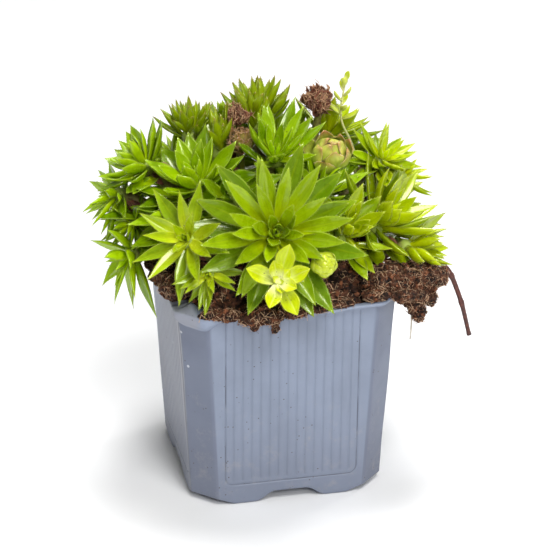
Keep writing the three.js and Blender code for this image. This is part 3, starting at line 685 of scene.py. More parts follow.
def rosette_axes(lean, round_):
    lean, round_ = math.radians(lean), math.radians(round_)
    up = Vector(
        (math.sin(lean) * math.cos(round_), math.sin(lean) * math.sin(round_), math.cos(lean))
    )
    across = Vector((-math.sin(round_), math.cos(round_), 0))
    return up, across, across.cross(up)


class Rosette:
    """One row of ROSETTES with its axes, crown and stem."""

    def __init__(self, seed, row):
        self.name, self.habit_name, x, y, z, lean, round_, self.size, self.count, self.spin = row[:10]
        self.habit = HABITS[self.habit_name]
        self.seed = seed
        self.centre = Vector((x, y, z))
        self.up, self.across, self.along = rosette_axes(lean, round_)
        self.crown = (1.2 + 0.14 * self.size) * self.habit["crown"]
        self.foot = stem_foot(x, y, *row[10:])
        self.stem = 0.9 + 0.055 * self.size

    def direction(self, degrees):
        angle = math.radians(degrees)
        return self.along * math.cos(angle) + self.across * math.sin(angle)

    def leaf(self, i, pose=(0, 0, 1), count=None, turn=0.0):
        """Leaf number i as the model places it, or one of count that stand between."""
        habit, seed = self.habit, self.seed
        lift, swing, share = pose
        t = (i + 0.5) / (count or self.count)
        key = 5 * i if count is None else 5 * i + BETWEEN_KEY
        radial = self.direction(self.spin + turn + i * GOLDEN + 5 * wobble(seed, key) + swing)
        rise = habit["inner"] + (habit["outer"] - habit["inner"]) * t**0.6
        rise += 4 * wobble(seed, key + 1) + lift
        grown_share = habit["young"] + (1 - habit["young"]) * t**0.5
        return Leaf(
            root=self.centre
            + radial * (self.crown * habit["spread"] * t**0.5)
            + self.up * (self.crown * (0.4 - 0.8 * t)),
            radial=radial,
            up=self.up,
            rise=math.radians(rise),
            bend=math.radians(habit["bend"] + 6 * wobble(seed, key + 3)),
            length=self.size * grown_share * (1 + 0.07 * wobble(seed, key + 2)) * share,
            width=habit["width"] * self.size * (0.7 + 0.3 * t),
            thick=max(1.1, habit["thick"] * self.size),
            widest=habit["widest"],
            age=t,
            draw=wobble(seed, key + 4),
        )


def soil_height(x, y):
    reach = TOP_HALF - WALL
    share = min(1.0, ((abs(x) / reach) ** 4 + (abs(y) / reach) ** 4) ** 0.25)
    return POT_HEIGHT + SOIL_RISE * (1 - share**2)


def stem_foot(x, y, reach=None):
    """The buried end of the stem of a crown over (x, y)."""
    away = math.hypot(x, y)
    share = (reach or min(0.8 * away, USUAL_REACH)) / away
    return Vector((x * share, y * share, soil_height(x * share, y * share) - ROOT_DEPTH))


def model_trees():
    """A search tree of each node of the model, in millimetres from the pot's middle."""
    trees = {}
    for name, node in frame["nodes"].items():
        points = [in_pot(v.co) for v in node.data.vertices]
        trees[name] = BVHTree.FromPolygons(points, [p.vertices[:] for p in node.data.polygons])
    return trees


def in_model(leaf, tree, last_cut):
    """Whether the model has this leaf: its tip and its last section lie on the node's surface."""
    if tree.find_nearest(leaf.section(1)[0])[3] > TOLERANCE:
        return False
    return any(tree.find_nearest(p)[3] <= TOLERANCE for p in leaf.ring(last_cut))


def model_leaves(rosette, tree):
    """The leaves that the model kept, each in the pose it took."""
    last_cut = LAST_CUT_SMALL if rosette.size < SMALL_ROSETTE else LAST_CUT
    found = []
    for i in range(rosette.count):
        for pose in POSES:
            leaf = rosette.leaf(i, pose)
            if in_model(leaf, tree, last_cut):
                found.append(leaf)
                break
    return found


def is_clear(leaf, owner, trees, placed):
    band = BVHTree.FromPolygons(*leaf.strip())
    others = [tree for name, tree in trees.items() if name != owner]
    others += [tree for name, tree in placed if name != owner]
    return not any(band.overlap(tree) for tree in others)


def taper_leaf(leaf, rosette):
    """Makes a short leaf narrower than the model has it, and an inner one longer, by the habit."""
    leaf.width *= min(1.0, leaf.length / rosette.size) ** rosette.habit["taper"]
    free = min(1.0, max(0.0, 1 + 1.2 * leaf.radial.z))  # one that points down keeps its length
    leaf.length *= 1 + free * rosette.habit["stretch"] * max(0.0, 1 - leaf.age) ** 2


def added_leaves(rosette, leaves, trees, placed):
    """Leaves that fill in where they are clear of neighbours, then those beside and in the heart."""
    made, sparse = [], rosette.name in SPARSE
    filling = [] if sparse else between_leaves(rosette)
    if rosette.habit_name == "tuft":
        filling += [side_leaf(rosette, leaf, hand, k) for k, leaf in enumerate(leaves) for hand in (-1, 1)]
    filling += [] if sparse else skirt_leaves(rosette)
    for leaf in filling:
        if is_clear(leaf, rosette.name, trees, placed):
            made.append(leaf)
            placed.append((rosette.name, BVHTree.FromPolygons(*leaf.strip())))
    return made + beside_leaves(rosette) + heart_leaves(rosette)


def between_leaves(rosette):
    """Leaves like the model's, half a step round from them and a little steeper."""
    made, count = [], rosette.habit["between"]
    for k in range(count):
        lift = 6 + 5 * wobble(rosette.seed, BETWEEN_DRAW + k)
        leaf = rosette.leaf(k, (lift, 0, 0.92), count, turn=BETWEEN_TURN)
        taper_leaf(leaf, rosette)
        made.append(leaf)
    return made


def skirt_leaves(rosette):
    """Old leaves that droop round the stem."""
    made, count = [], rosette.habit["skirt"]
    for k in range(count):
        leaf = rosette.leaf(k, count=count, turn=100)
        leaf.rise = math.radians(-22 + 16 * wobble(rosette.seed, SKIRT_RISE_DRAW + k))
        leaf.length = rosette.size * (0.84 + 0.12 * wobble(rosette.seed, SKIRT_LENGTH_DRAW + k))
        leaf.root = rosette.centre + (leaf.radial * 0.5 - leaf.up * 0.6) * rosette.crown
        leaf.age = 1.2
        made.append(leaf)
    return made


def heart_leaves(rosette):
    """The small pale leaves that stand in the middle, made lighter still with painted light, the innermost
    the shortest and steepest.
    """
    made, count = [], rosette.habit["heart"]
    steepest = 46 if rosette.habit_name == "broad" else 84
    for k in range(count):
        share = k / count
        leaf = rosette.leaf(k, count=count * 8, turn=30)
        leaf.rise = math.radians(steepest - 32 * share)
        leaf.bend = math.radians(18)
        leaf.length = rosette.size * (0.22 + 0.34 * share)
        leaf.width = leaf.length * max(0.3, rosette.habit["width"] * 1.15)
        leaf.thick = 0.11 * leaf.length
        # Painted light: the heart's leaves are drawn lighter against the shade among them.
        leaf.draw += 1.6
        out = leaf.radial * (0.24 * share**0.5) + leaf.up * 0.3
        leaf.root = rosette.centre + out * rosette.crown
        made.append(leaf)
    return made


def beside_leaves(rosette):
    """The single leaves of BESIDE that belong to a rosette."""
    made = []
    for k, (name, x, y, z, side, rise, length, width) in enumerate(BESIDE):
        if name == rosette.name:
            side = math.radians(side)
            made.append(
                Leaf(
                    root=rosette.centre + Vector((x, y, z)),
                    radial=Vector((math.cos(side), math.sin(side), 0)),
                    up=Vector((0, 0, 1)),
                    rise=math.radians(rise),
                    bend=math.radians(12 + 8 * wobble(k, 3)),
                    length=length,
                    width=width,
                    thick=1.2,
                    widest=0.5,
                    age=0.7 + 0.3 * wobble(k, 4),
                    draw=wobble(k, 5),
                )
            )
    return made


def side_leaf(rosette, leaf, hand, k):
    """A smaller leaf that stands beside one of a tuft, from a little way up it."""
    draw = wobble(rosette.seed, SIDE_DRAW * hand + k)
    turn = math.radians(hand * (34 + 12 * draw))
    radial = Matrix.Rotation(turn, 3, leaf.up) @ leaf.radial
    return Leaf(
        root=leaf.section(0.2 + 0.1 * draw)[0],
        radial=radial,
        up=leaf.up,
        rise=leaf.rise - math.radians(10),
        bend=leaf.bend,
        length=leaf.length * (0.66 + 0.1 * draw),
        width=0.85 * leaf.width,
        thick=0.85 * leaf.thick,
        widest=leaf.widest,
        age=leaf.age,
        draw=draw,
    )


def leaf_template(name, habit, root_share, rows, columns, hairs, fringe):
    """A flat pattern of one leaf: along, across, half width share, depth share and hair stand."""

    def broad_at(s):
        return leaf_outline(s, habit["widest"], root_share, habit["point"])

    shares = [k / (columns - 1) for k in range(columns)]
    tops = [0.55 * -math.cos(math.pi * share) + 0.45 * (2 * share - 1) for share in shares]
    unders = tops[-2:0:-1]
    pattern, faces = [], []
    for r in range(rows):
        s = (r / rows) ** 0.9
        broad = broad_at(s)
        depth = plumpness(s) * (1.0 if s < habit["widest"] else broad**0.7)
        pattern += [(s, x, broad, -habit["dome"] * depth * (1 - x * x), 0.0) for x in tops]
        pattern += [(s, x, broad, depth * (1 - x * x) ** 0.55, 0.0) for x in unders]
    ring = len(tops) + len(unders)
    for r in range(rows - 1):
        for k in range(ring):
            a, b = r * ring + k, r * ring + (k + 1) % ring
            faces.append((a, b, b + ring, a + ring))
    tip = len(pattern)
    pattern.append((1.0, 0.0, 0.0, 0.0, 0.0))
    last = tip - ring
    faces += [(last + k, last + (k + 1) % ring, tip) for k in range(ring)]
    faces.append(tuple(reversed(range(ring))))
    for hand in (-1, 1):
        for k in range(hairs):
            s = 0.1 + 0.87 * (k + 0.4 * wobble(k, hand)) / hairs
            stand = fringe * (1 + 0.35 * wobble(k + 7, hand))
            add_hair(pattern, faces, broad_at, s, 0.12 / hairs, hand, stand)
    mesh = bpy.data.meshes.new(name)
    mesh.from_pydata([(0, 0, 0)] * len(pattern), [], faces)
    for key, values in zip(("along", "across", "broad", "deep", "stand"), zip(*pattern)):
        set_attribute(mesh, key, values)
    return new_object(name, mesh)


def add_hair(pattern, faces, broad_at, s, slim, hand, stand):
    """One three-sided hair at s along a leaf's left or right edge, bent toward the tip."""
    start = len(pattern)
    corners = ((-slim, 0.0, 0.0), (slim, 0.0, 0.0), (0.0, 0.1, 0.0), (3 * slim, 0.0, stand))
    for shift, deep, out in corners:
        pattern.append((s + shift, hand, broad_at(s + shift), deep, hand * out))
    a, b, c, d = range(start, start + 4)
    hair = [(a, b, d), (b, c, d), (c, a, d), (a, c, b)]
    faces.extend(hair if hand > 0 else [tuple(reversed(face)) for face in hair])


# What bends the leaves, and goes once they are bent.
LEAF_TOOLS = (
    "rise", "bend", "length", "width", "thick", "cup", "hook", "twist", "sway", "crumple", "sag",
    "root", "radial", "upward", "broad", "stand",
)


def leaf_axes(t, along):
    """The middle line, which bends upward in an arc, and its side and face, which twist along it."""
    rise, bend = t.number("rise"), t.number("bend")
    angle = t.math("MULTIPLY_ADD", bend, along, rise)
    radius = t.math("DIVIDE", t.number("length"), bend)
    out = t.times(radius, t.math("SUBTRACT", t.math("SINE", angle), t.math("SINE", rise)))
    lift = t.times(radius, t.math("SUBTRACT", t.math("COSINE", rise), t.math("COSINE", angle)))
    radial, upward = t.arrow("radial"), t.arrow("upward")
    middle = t.vector("ADD", t.arrow("root"), t.scaled(radial, out))
    middle = t.vector("ADD", middle, t.scaled(upward, lift))
    side = t.vector("CROSS_PRODUCT", upward, radial)
    face = t.vector(
        "SUBTRACT", t.scaled(upward, t.math("COSINE", angle)), t.scaled(radial, t.math("SINE", angle))
    )
    twist = t.times(t.number("twist"), along)
    straight, turned = t.math("COSINE", twist), t.math("SINE", twist)
    return (
        middle,
        t.vector("ADD", t.scaled(side, straight), t.scaled(face, turned)),
        t.vector("SUBTRACT", t.scaled(face, straight), t.scaled(side, turned)),
    )


def leaf_section(t, along):
    """How far a point of the pattern lies beside the middle line, and how high over it."""
    across, length = t.number("across"), t.number("length")
    half = t.times(t.number("width"), 0.5, t.number("broad"))
    sway = t.times(t.number("sway"), length, t.math("POWER", along, 2.0))
    beside = t.math("ADD", t.math("MULTIPLY_ADD", across, half, t.number("stand")), sway)
    cupped = t.times(t.number("cup"), half, t.math("POWER", t.math("ABSOLUTE", across), 1.5))
    hooked = t.times(t.number("hook"), length, t.math("POWER", along, 3.0))
    height = t.math("SUBTRACT", cupped, t.times(t.number("thick"), t.number("deep")))
    return beside, t.math("ADD", height, hooked)


def leaf_group():
    """Geometry Nodes: one leaf at each point, bent, cupped and twisted as the point says."""
    group, t, given, result = new_group(
        "Rosette leaves",
        "GeometryNodeTree",
        [
            ("Points", "NodeSocketGeometry", None),
            ("Leaf", "NodeSocketObject", None),
            ("Stem", "NodeSocketObject", None),
            ("Leaf material", "NodeSocketMaterial", None),
            ("Stem material", "NodeSocketMaterial", None),
            ("Lowest", "NodeSocketVector", None),
            ("Highest", "NodeSocketVector", None),
        ],
        [("Leaves", "NodeSocketGeometry")],
    )

    def painted(shape, material):
        shape = t.add("GeometryNodeSetShadeSmooth", shape)
        return t.add(
            "GeometryNodeSetMaterial", named={"Geometry": shape, "Material": given.outputs[material]}
        )

    pattern = t.add("GeometryNodeObjectInfo", given.outputs["Leaf"], out="Geometry")
    copies = t.add(
        "GeometryNodeInstanceOnPoints", named={"Points": given.outputs["Points"], "Instance": pattern}
    )
    leaves = t.add("GeometryNodeRealizeInstances", copies)
    along = t.number("along")
    middle, side, face = leaf_axes(t, along)
    beside, height = leaf_section(t, along)
    place = t.vector("ADD", middle, t.scaled(side, beside))
    place = t.vector("ADD", place, t.scaled(face, height))

    # Each leaf sags and crumples toward its tip, and stays inside the model's box.
    sagged = t.times(t.number("sag"), t.number("length"), t.math("POWER", along, 2.0))
    place = t.vector("SUBTRACT", place, t.add("ShaderNodeCombineXYZ", 0.0, 0.0, sagged))
    ripple = t.add("ShaderNodeTexNoise", named={"Vector": place, "Scale": 160.0, "Detail": 1.0}, out="Color")
    ripple = t.vector("SUBTRACT", ripple, (0.5, 0.5, 0.5))
    place = t.vector("ADD", place, t.scaled(ripple, t.times(t.number("crumple"), along)))
    place = t.vector("MINIMUM", place, given.outputs["Highest"])
    place = t.vector("MAXIMUM", place, given.outputs["Lowest"])

    shaped = t.add("GeometryNodeSetPosition", named={"Geometry": leaves, "Position": place})
    stem = t.add("GeometryNodeObjectInfo", given.outputs["Stem"], out="Geometry")
    join = group.nodes.new("GeometryNodeJoinGeometry")
    group.links.new(painted(shaped, "Leaf material"), join.inputs[0])
    group.links.new(painted(stem, "Stem material"), join.inputs[0])
    group.links.new(join.outputs[0], result.inputs[0])
    return group


def grow_leaves(name, leaves, habit, seed, pattern, stem, look, stem_look):
    """One object of bent leaves on their stem, kept inside the model's box."""
    points = leaf_points(name + "_points", leaves, habit, seed)
    group = bpy.data.node_groups.get("Rosette leaves") or leaf_group()
    margin = Vector((1, 1, 1)) * (BOX_MARGIN * MM)
    values = {
        "Leaf": pattern, "Stem": stem, "Leaf material": look, "Stem material": stem_look,
        "Lowest": CAD_BOX[0] + margin, "Highest": CAD_BOX[1] - margin,
    }
    piece = grown(name, points, group, values)
    for key in LEAF_TOOLS:
        piece.data.attributes.remove(piece.data.attributes[key])
    discard(points, *([stem] if stem else []))
    return piece


def leaf_points(name, leaves, habit, seed):
    """A mesh of one point for each leaf, which carries the leaf's sizes as attributes."""
    rows = [
        {
            "rise": leaf.rise,
            "bend": leaf.bend,
            "length": leaf.length * MM,
            "width": leaf.width * habit["slim"] * MM,
            "thick": leaf.thick * habit["plump"] * MM,
            "cup": habit["cup"] * (1 + 0.25 * wobble(seed, CUP_DRAW + k)),
            "hook": habit["hook"] * (1 + 0.5 * wobble(seed, HOOK_DRAW + k)),
            "twist": math.radians(habit["twist"]) * wobble(seed, TWIST_DRAW + k),
            "sway": 0.04 * wobble(seed, SWAY_DRAW + k),
            "crumple": habit["crumple"] * MM * 2,
            "sag": habit.get("sag", 0.0),
            "age": leaf.age,
            "draw": leaf.draw,
            "root": in_row(leaf.root),
            "radial": leaf.radial,
            "upward": leaf.up,
        }
        for k, leaf in enumerate(leaves)
    ]
    mesh = bpy.data.meshes.new(name)
    mesh.from_pydata([(0, 0, 0)] * len(rows), [], [])
    for key in rows[0]:
        set_attribute(mesh, key, [row[key] for row in rows])
    return new_object(name, mesh)


def tube(points, radii, sides, caps=True):
    """Points and faces of a tube whose radius changes along it."""
    rings, faces = [], []
    across = None
    for k, (point, radius) in enumerate(zip(points, radii)):
        ahead = points[min(k + 1, len(points) - 1)] - points[max(k - 1, 0)]
        ahead.normalize()
        if across is None:
            across = ahead.orthogonal().normalized()
        across = (across - ahead * across.dot(ahead)).normalized()
        other = ahead.cross(across)
        for j in range(sides):
            angle = 2 * math.pi * j / sides
            rings.append(point + (across * math.cos(angle) + other * math.sin(angle)) * radius)
    for k in range(len(points) - 1):
        for j in range(sides):
            a, b = k * sides + j, k * sides + (j + 1) % sides
            faces.append((a, b, b + sides, a + sides))
    if caps:
        faces.append(tuple(reversed(range(sides))))
        faces.append(tuple(range(len(rings) - sides, len(rings))))
    return rings, faces


def stem_line(foot, crown, up, steps):
    """Points from the buried foot up to the crown, bent as the model's stem."""
    turn = crown - up * (0.45 * (crown - foot).length)
    line = []
    for k in range(steps):
        t = k / (steps - 1)
        line.append(foot * (1 - t) ** 2 + turn * (2 * t * (1 - t)) + crown * t**2)
    return line


def stem_mesh(rosette):
    """A rough stem that widens into a rounded crown."""
    name, centre, up, crown = rosette.name + "_stem", rosette.centre, rosette.up, rosette.crown
    line = stem_line(rosette.foot, centre - up * (0.75 * crown), up, 14)
    radii = [rosette.stem * (1 + 0.12 * wobble(rosette.seed, STEM_DRAW + k)) for k in range(len(line))]
    full = 0.6 if rosette.habit_name == "broad" else 1.0
    for rise, share in ((-0.5, 0.7), (-0.2, 0.8), (0.1, 0.74), (0.4, 0.5), (0.6, 0.24), (0.7, 0.08)):
        line.append(centre + up * (rise * crown))
        radii.append(crown * share * full)
    points, faces = tube(line, radii, 10)
    green = [smooth((p - centre).dot(up), -0.6 * crown, -0.1 * crown) for p in points]
    pale = [1.0 if full < 1 else 0.15] * len(points)
    return new_object(name, mesh_of(name, points, faces, {"green": green, "pale": pale}))


def catmull(points, t):
    """A point on the centripetal curve through given points, as the model's tubes follow."""
    spots = [Vector(p) for p in points]
    spots = [spots[0] * 2 - spots[1], *spots, spots[-1] * 2 - spots[-2]]
    place = min(t, 0.999999) * (len(points) - 1)
    k = int(place)
    p0, p1, p2, p3 = spots[k : k + 4]
    d0, d1, d2 = ((b - a).length ** 0.5 for a, b in ((p0, p1), (p1, p2), (p2, p3)))
    near = ((p1 - p0) / d0 - (p2 - p0) / (d0 + d1) + (p2 - p1) / d1) * d1
    far = ((p2 - p1) / d1 - (p3 - p1) / (d1 + d2) + (p3 - p2) / d2) * d1
    w = place - k
    return (
        p1
        + near * w
        + (p1 * -3 + p2 * 3 - near * 2 - far) * w**2
        + (p1 * 2 - p2 * 2 + near + far) * w**3
    )


# ---- Materials ----------------------------------------------------------------------------

SKIN_COLOURS = ("Body", "Root", "Tip", "Margin", "Old")


def leaf_skin_group():
    """Shader group: a leaf's colours along and across it, its streaks and its fine relief."""
    group, t, given, result = new_group(
        "Leaf skin",
        "ShaderNodeTree",
        [
            *((key, "NodeSocketColor", None) for key in SKIN_COLOURS),
            ("Tip strength", "NodeSocketFloat", 0.5),
            ("Tip start", "NodeSocketFloat", 0.8),
            ("Margin strength", "NodeSocketFloat", 0.4),
        ],
        [("Colour", "NodeSocketColor"), ("Gloss", "NodeSocketFloat"), ("Relief", "NodeSocketFloat")],
    )
    along, across, deep, age, draw = (t.read(key) for key in ("along", "across", "deep", "age", "draw"))
    body, root, tip, margin, old = (given.outputs[key] for key in SKIN_COLOURS)
    place, edge = t.place(), t.math("ABSOLUTE", across)
    streak_place = t.add(
        "ShaderNodeCombineXYZ", t.times(across, 4.0), t.times(along, 1.6), t.times(draw, 9.0)
    )
    streaks, blotches = t.noise(streak_place, 2.4, 3.0), t.noise(place, 240.0, 2.0)

    # Pale root, duller old leaves, then the tip, the margin and the middle line.
    colour = t.mix(t.band(along, 0.6, 0.1, 0.0, 0.9), body, root)
    colour = t.mix(t.band(age, 0.3, 0.9, 0.0, 0.9), colour, old)
    tipped = t.times(t.band(along, given.outputs["Tip start"], 1.0), given.outputs["Tip strength"])
    colour = t.mix(tipped, colour, tip)
    edged = t.times(t.band(edge, 0.86, 1.0), t.band(along, 0.1, 0.5), given.outputs["Margin strength"])
    colour = t.mix(edged, colour, margin)
    colour = t.mix(t.band(edge, 0.16, 0.0, 0.0, 0.16), colour, root)

    # Streaks and blotches, the paler underside, and a few dark specks.
    light = t.math("ADD", t.band(streaks, 0.3, 0.7, 0.9, 1.1), t.times(draw, 0.12))
    light = t.times(light, t.band(blotches, 0.35, 0.7, 0.93, 1.06))
    shade = t.add("ShaderNodeCombineColor", light, light, light)
    colour = t.mix(1.0, colour, shade, "MULTIPLY")
    colour = t.mix(t.times(t.band(deep, 0.02, 0.3), 0.25), colour, root)
    rare = t.noise(place, 60.0, 0.0)
    specks = t.times(t.band(t.cells(place, 420.0), 0.15, 0.08), t.band(rare, 0.64, 0.7))
    colour = t.mix(t.times(specks, 0.7), colour, (0.05, 0.03, 0.015))
    relief = t.math("ADD", t.times(streaks, 0.6), t.times(blotches, 0.4))
    gloss = t.band(blotches, 0.3, 0.7, -0.05, 0.08)
    for value, key in ((colour, "Colour"), (gloss, "Gloss"), (relief, "Relief")):
        group.links.new(value, result.inputs[key])
    return group


def leaf_material(slot, roughness):
    """Glossy, slightly translucent leaf skin in a slot's colours."""
    *colours, strength = LEAF_COLOURS[slot]
    tip_start, margin_strength = (0.62, 0.9) if slot in ("bud_pale", "bud_brown") else (0.8, 0.4)
    values = dict(zip(SKIN_COLOURS, map(rgba, colours)))
    values["Tip strength"] = strength
    values["Tip start"] = tip_start
    values["Margin strength"] = margin_strength
    material, t, shader = new_material(slot)
    group = bpy.data.node_groups.get("Leaf skin") or leaf_skin_group()
    skin = t.add("ShaderNodeGroup", named=values, node_tree=group).node
    gloss = t.math("ADD", skin.outputs["Gloss"], roughness)
    t.surface(shader, skin.outputs["Colour"], gloss, skin.outputs["Relief"], 0.25, 0.3)
    shader.inputs["Subsurface Weight"].default_value = 0.12
    shader.inputs["Subsurface Radius"].default_value = (0.8, 1.0, 0.15)
    shader.inputs["Subsurface Scale"].default_value = 0.0025
    shader.inputs["Specular IOR Level"].default_value = 0.4
    shader.inputs["Specular Tint"].default_value = (0.9, 1.0, 0.3, 1)
    shader.inputs["Coat Weight"].default_value = 0.6
    shader.inputs["Coat Roughness"].default_value = 0.12
    return material


def dry_leaf_material():
    """Dead, papery leaf: red-brown with paler torn edges."""
    material, t, shader = new_material("dry_leaf")
    edge = t.math("ABSOLUTE", t.read("across"))
    grain = t.noise(t.place(), 500.0, 4.0, 0.7)
    colour = t.mix(t.band(grain, 0.3, 0.7), (0.05, 0.012, 0.006), (0.22, 0.07, 0.035))
    colour = t.mix(t.band(edge, 0.75, 1.0, 0.0, 0.5), colour, (0.46, 0.26, 0.14))
    colour = t.mix(t.band(t.read("draw"), 0.5, 1.0, 0.0, 0.7), colour, (0.52, 0.33, 0.17))
    t.surface(shader, colour, t.band(grain, 0.2, 0.8, 0.6, 0.9), grain, 0.7, 0.4)
    return material


def stem_material():
    """Thick rough stem: green-brown with old scars, fresher in its crown."""
    material, t, shader = new_material("stem_bark")
    place = t.place()
    grain, scars = t.noise(place, 420.0, 4.0, 0.65), t.cells(place, 520.0)
    colour = t.mix(t.band(grain, 0.3, 0.7), (0.15, 0.10, 0.03), (0.30, 0.30, 0.07))
    colour = t.mix(t.band(scars, 0.0, 0.35, 0.5, 0.0), colour, (0.09, 0.035, 0.02))
    fresh = t.mix(t.read("pale"), (0.26, 0.38, 0.008), (0.86, 0.88, 0.40))
    colour = t.mix(t.times(t.read("green"), t.band(grain, 0.2, 0.6, 0.8, 1.0)), colour, fresh)
    t.surface(shader, colour, t.band(grain, 0.2, 0.8, 0.5, 0.75), scars, 0.6, 0.4)
    return material


def fibre_material(name, dark, light, roughness):
    """Dry plant fibre: a streaky mix of two browns."""
    material, t, shader = new_material(name)
    grain = t.noise(t.place(), 600.0, 4.0, 0.7)
    tone = t.math("ADD", grain, t.times(t.read("draw"), 0.35))
    gloss = t.band(grain, 0.2, 0.8, roughness - 0.1, roughness + 0.1)
    t.surface(shader, t.mix(t.band(tone, 0.35, 0.85), dark, light), gloss, grain, 0.5, 0.2)
    return material


def soil_material(colour):
    """Moist peat: painted shade in the low parts of its relief and in its pits, red-brown crumbs, a few pale
    flecks, a little wet gloss.
    """
    material, t, shader = new_material("peat_soil")
    place = t.place()
    coarse, fine = t.noise(place, 260.0, 5.0, 0.7), t.noise(place, 1400.0, 3.0, 0.7)
    tone = t.add("ShaderNodeSeparateColor", t.cells(place, 620.0, "Color"))
    # Painted shade: darker where the coarse relief is low.
    mixed = t.mix(t.band(coarse, 0.4, 0.64), shaded(colour, 0.07), colour)
    share = t.math("ADD", t.times(tone, 0.6), t.times(t.read("draw"), 0.6))
    mixed = t.mix(t.times(t.band(share, 0.3, 1.1), 0.75), mixed, shaded(colour, 3.5))
    flecks = t.times(t.band(fine, 0.66, 0.72), t.band(tone, 0.8, 0.9))
    mixed = t.mix(flecks, mixed, (0.34, 0.22, 0.13))
    # Painted shade in the pits.
    mixed = t.mix(t.times(t.read("pit"), 0.95), mixed, shaded(colour, 0.1))
    relief = t.math("ADD", coarse, t.times(fine, 0.5))
    t.surface(shader, mixed, t.band(fine, 0.3, 0.7, 0.55, 0.9), relief, 0.9, 0.8)
    shader.inputs["Specular IOR Level"].default_value = 0.25
    return material


def pot_material(colour):
    """Matt moulded plastic, a little cloudy, with dust low down, dirt specks and a few pale spots. Painted
    shade darkens its flutes and cut corners. Painted light makes its lip paler, and its left side too, along
    with dust.
    """
    material, t, shader = new_material("pot_plastic")
    place = t.place()
    x, y, z = (t.add("ShaderNodeSeparateXYZ", place, out=k) for k in range(3))
    flute, outline, corner, lip = (t.read(key) for key in ("flute", "outline", "corner", "lip"))
    cloud, grain = t.noise(place, 34.0, 4.0, 0.6), t.noise(place, 900.0, 2.0)

    # Cloudy plastic, with painted shade in its flutes and on its cut corners, and painted light on the lip.
    tone = t.mix(t.band(cloud, 0.3, 0.7), shaded(colour, 0.9), shaded(colour, 1.08))
    tone = t.mix(t.times(flute, 0.16), tone, shaded(colour, 0.55))
    tone = t.mix(t.times(corner, t.band(cloud, 0.3, 0.7, 0.7, 1.0)), tone, (0.132, 0.152, 0.213))
    # Painted light: the rim and the ledge's web are painted paler.
    tone = t.mix(t.times(lip, t.band(grain, 0.3, 0.6, 0.15, 0.5)), tone, shaded(colour, 1.2))

    # The left side is painted paler, partly dust and partly painted light, with a dark stripe and a pale
    # stripe down it. The pale stripe is partly wear and partly a painted highlight. Every panel line is
    # darkened in patches, fully on that side.
    left = t.band(x, in_row((-36, 0, 0)).x, in_row((-39, 0, 0)).x)
    left = t.times(left, t.band(corner, 0.6, 0.0))

    def stripe(start, end, soft):
        """An upright stripe on the left side, between two places along it, with soft edges."""
        low, low_full, high_full, high = (
            in_row((0, edge, 0)).y for edge in (start, start + soft, end - soft, end)
        )
        return t.times(t.band(y, low, low_full), left, t.band(y, high, high_full))

    patchy_line_darkening = t.math("MAXIMUM", t.band(t.noise(place, 60.0, 3.0), 0.4, 0.6, 0.15, 0.8), left)
    tone = t.mix(t.times(t.band(outline, 0.3, 0.9), patchy_line_darkening), tone, (0.05, 0.055, 0.075))
    # Partly dust and partly painted light: the left side is painted paler, away from its panel lines.
    dust_and_painted_light = t.times(left, t.band(cloud, 0.2, 0.7, 0.35, 0.8), t.band(outline, 0.5, 0.0))
    tone = t.mix(dust_and_painted_light, tone, (0.275, 0.28, 0.32))
    tone = t.mix(t.times(stripe(-30.6, -27.8, 0.8), 0.75), tone, (0.07, 0.07, 0.095))
    # Partly wear and partly a painted highlight: a pale stripe down the left side.
    tone = t.mix(t.times(stripe(-27.2, -25.2, 0.6), 0.4), tone, (0.5, 0.5, 0.54))

    # A darker foot, dust, specks of dirt and a few pale spots.
    tone = t.mix(t.times(t.band(z, 0.05, 0.0), 0.5), tone, (0.165, 0.18, 0.235))
    dust = t.times(t.noise(place, 130.0, 5.0, 0.75), t.band(z, 0.1, 0.02, 0.6, 1.0))
    tone = t.mix(t.band(dust, 0.5, 0.75, 0.0, 0.4), tone, (0.32, 0.31, 0.31))
    rare = t.noise(place, 85.0, 1.0)
    dirt = t.times(t.band(t.cells(place, 380.0), 0.14, 0.07), t.band(rare, 0.48, 0.56))
    tone = t.mix(t.times(dirt, 0.75), tone, (0.06, 0.045, 0.04))
    spots = t.band(t.cells(place, 75.0), 0.055, 0.035)
    tone = t.mix(t.times(spots, 0.7), tone, (0.62, 0.64, 0.68))
    relief = t.math("ADD", grain, t.times(cloud, 0.4))
    t.surface(shader, tone, t.band(cloud, 0.25, 0.75, 0.42, 0.58), relief, 0.12, 0.3)
    shader.inputs["Specular IOR Level"].default_value = 0.45
    return material


# ---- Pot ----------------------------------------------------------------------------------

def body_half(z):
    return FOOT_HALF + (TOP_HALF - FOOT_HALF) * z / POT_HEIGHT


def bottom_height(x, y):
    """Height of the pot's underside: the raised cross and the lifted outer corners."""
    lift = 0.0
    for d in (abs(x), abs(y)):
        lift = max(lift, NOTCH_HEIGHT * (1 - smooth(d, NOTCH_FLAT - 0.8, NOTCH_WIDE + 0.8)))
    toe = (abs(x) + abs(y)) / math.sqrt(2) - TOE_START
    return max(lift, TOE_SLOPE * toe, 0.0)


def bump_share(away, half_width):
    """A soft groove's depth share at a distance from its middle."""
    return 0.5 * (1 + math.cos(math.pi * min(1.0, away / half_width)))


def panel_shares(u, z):
    """How far a side panel is sunk at u along the side: by its flutes, and by its outline."""
    flute = 0.0
    nearest = round(u / FLUTE_PITCH - 0.5) + 0.5
    if abs(nearest) < FLUTES / 2:
        flute = bump_share(abs(u - nearest * FLUTE_PITCH), FLUTE_WIDTH / 2)
        flute *= smooth(z, FLUTE_LOW, FLUTE_LOW + 0.8)
    dx = abs(u) - (PANEL_HALF - PANEL_ROUND)
    dz = PANEL_LOW + PANEL_ROUND - z
    if dx > 0 and dz > 0:
        away = abs(math.hypot(dx, dz) - PANEL_ROUND)
    else:
        away = min(abs(abs(u) - PANEL_HALF) if dz < 0 else 99, abs(z - PANEL_LOW) if dx < 0 else 99)
    fade = 1 - smooth(z, POT_HEIGHT - 3, POT_HEIGHT - 1.6)
    return flute * fade, bump_share(away, PANEL_LINE / 2) * fade


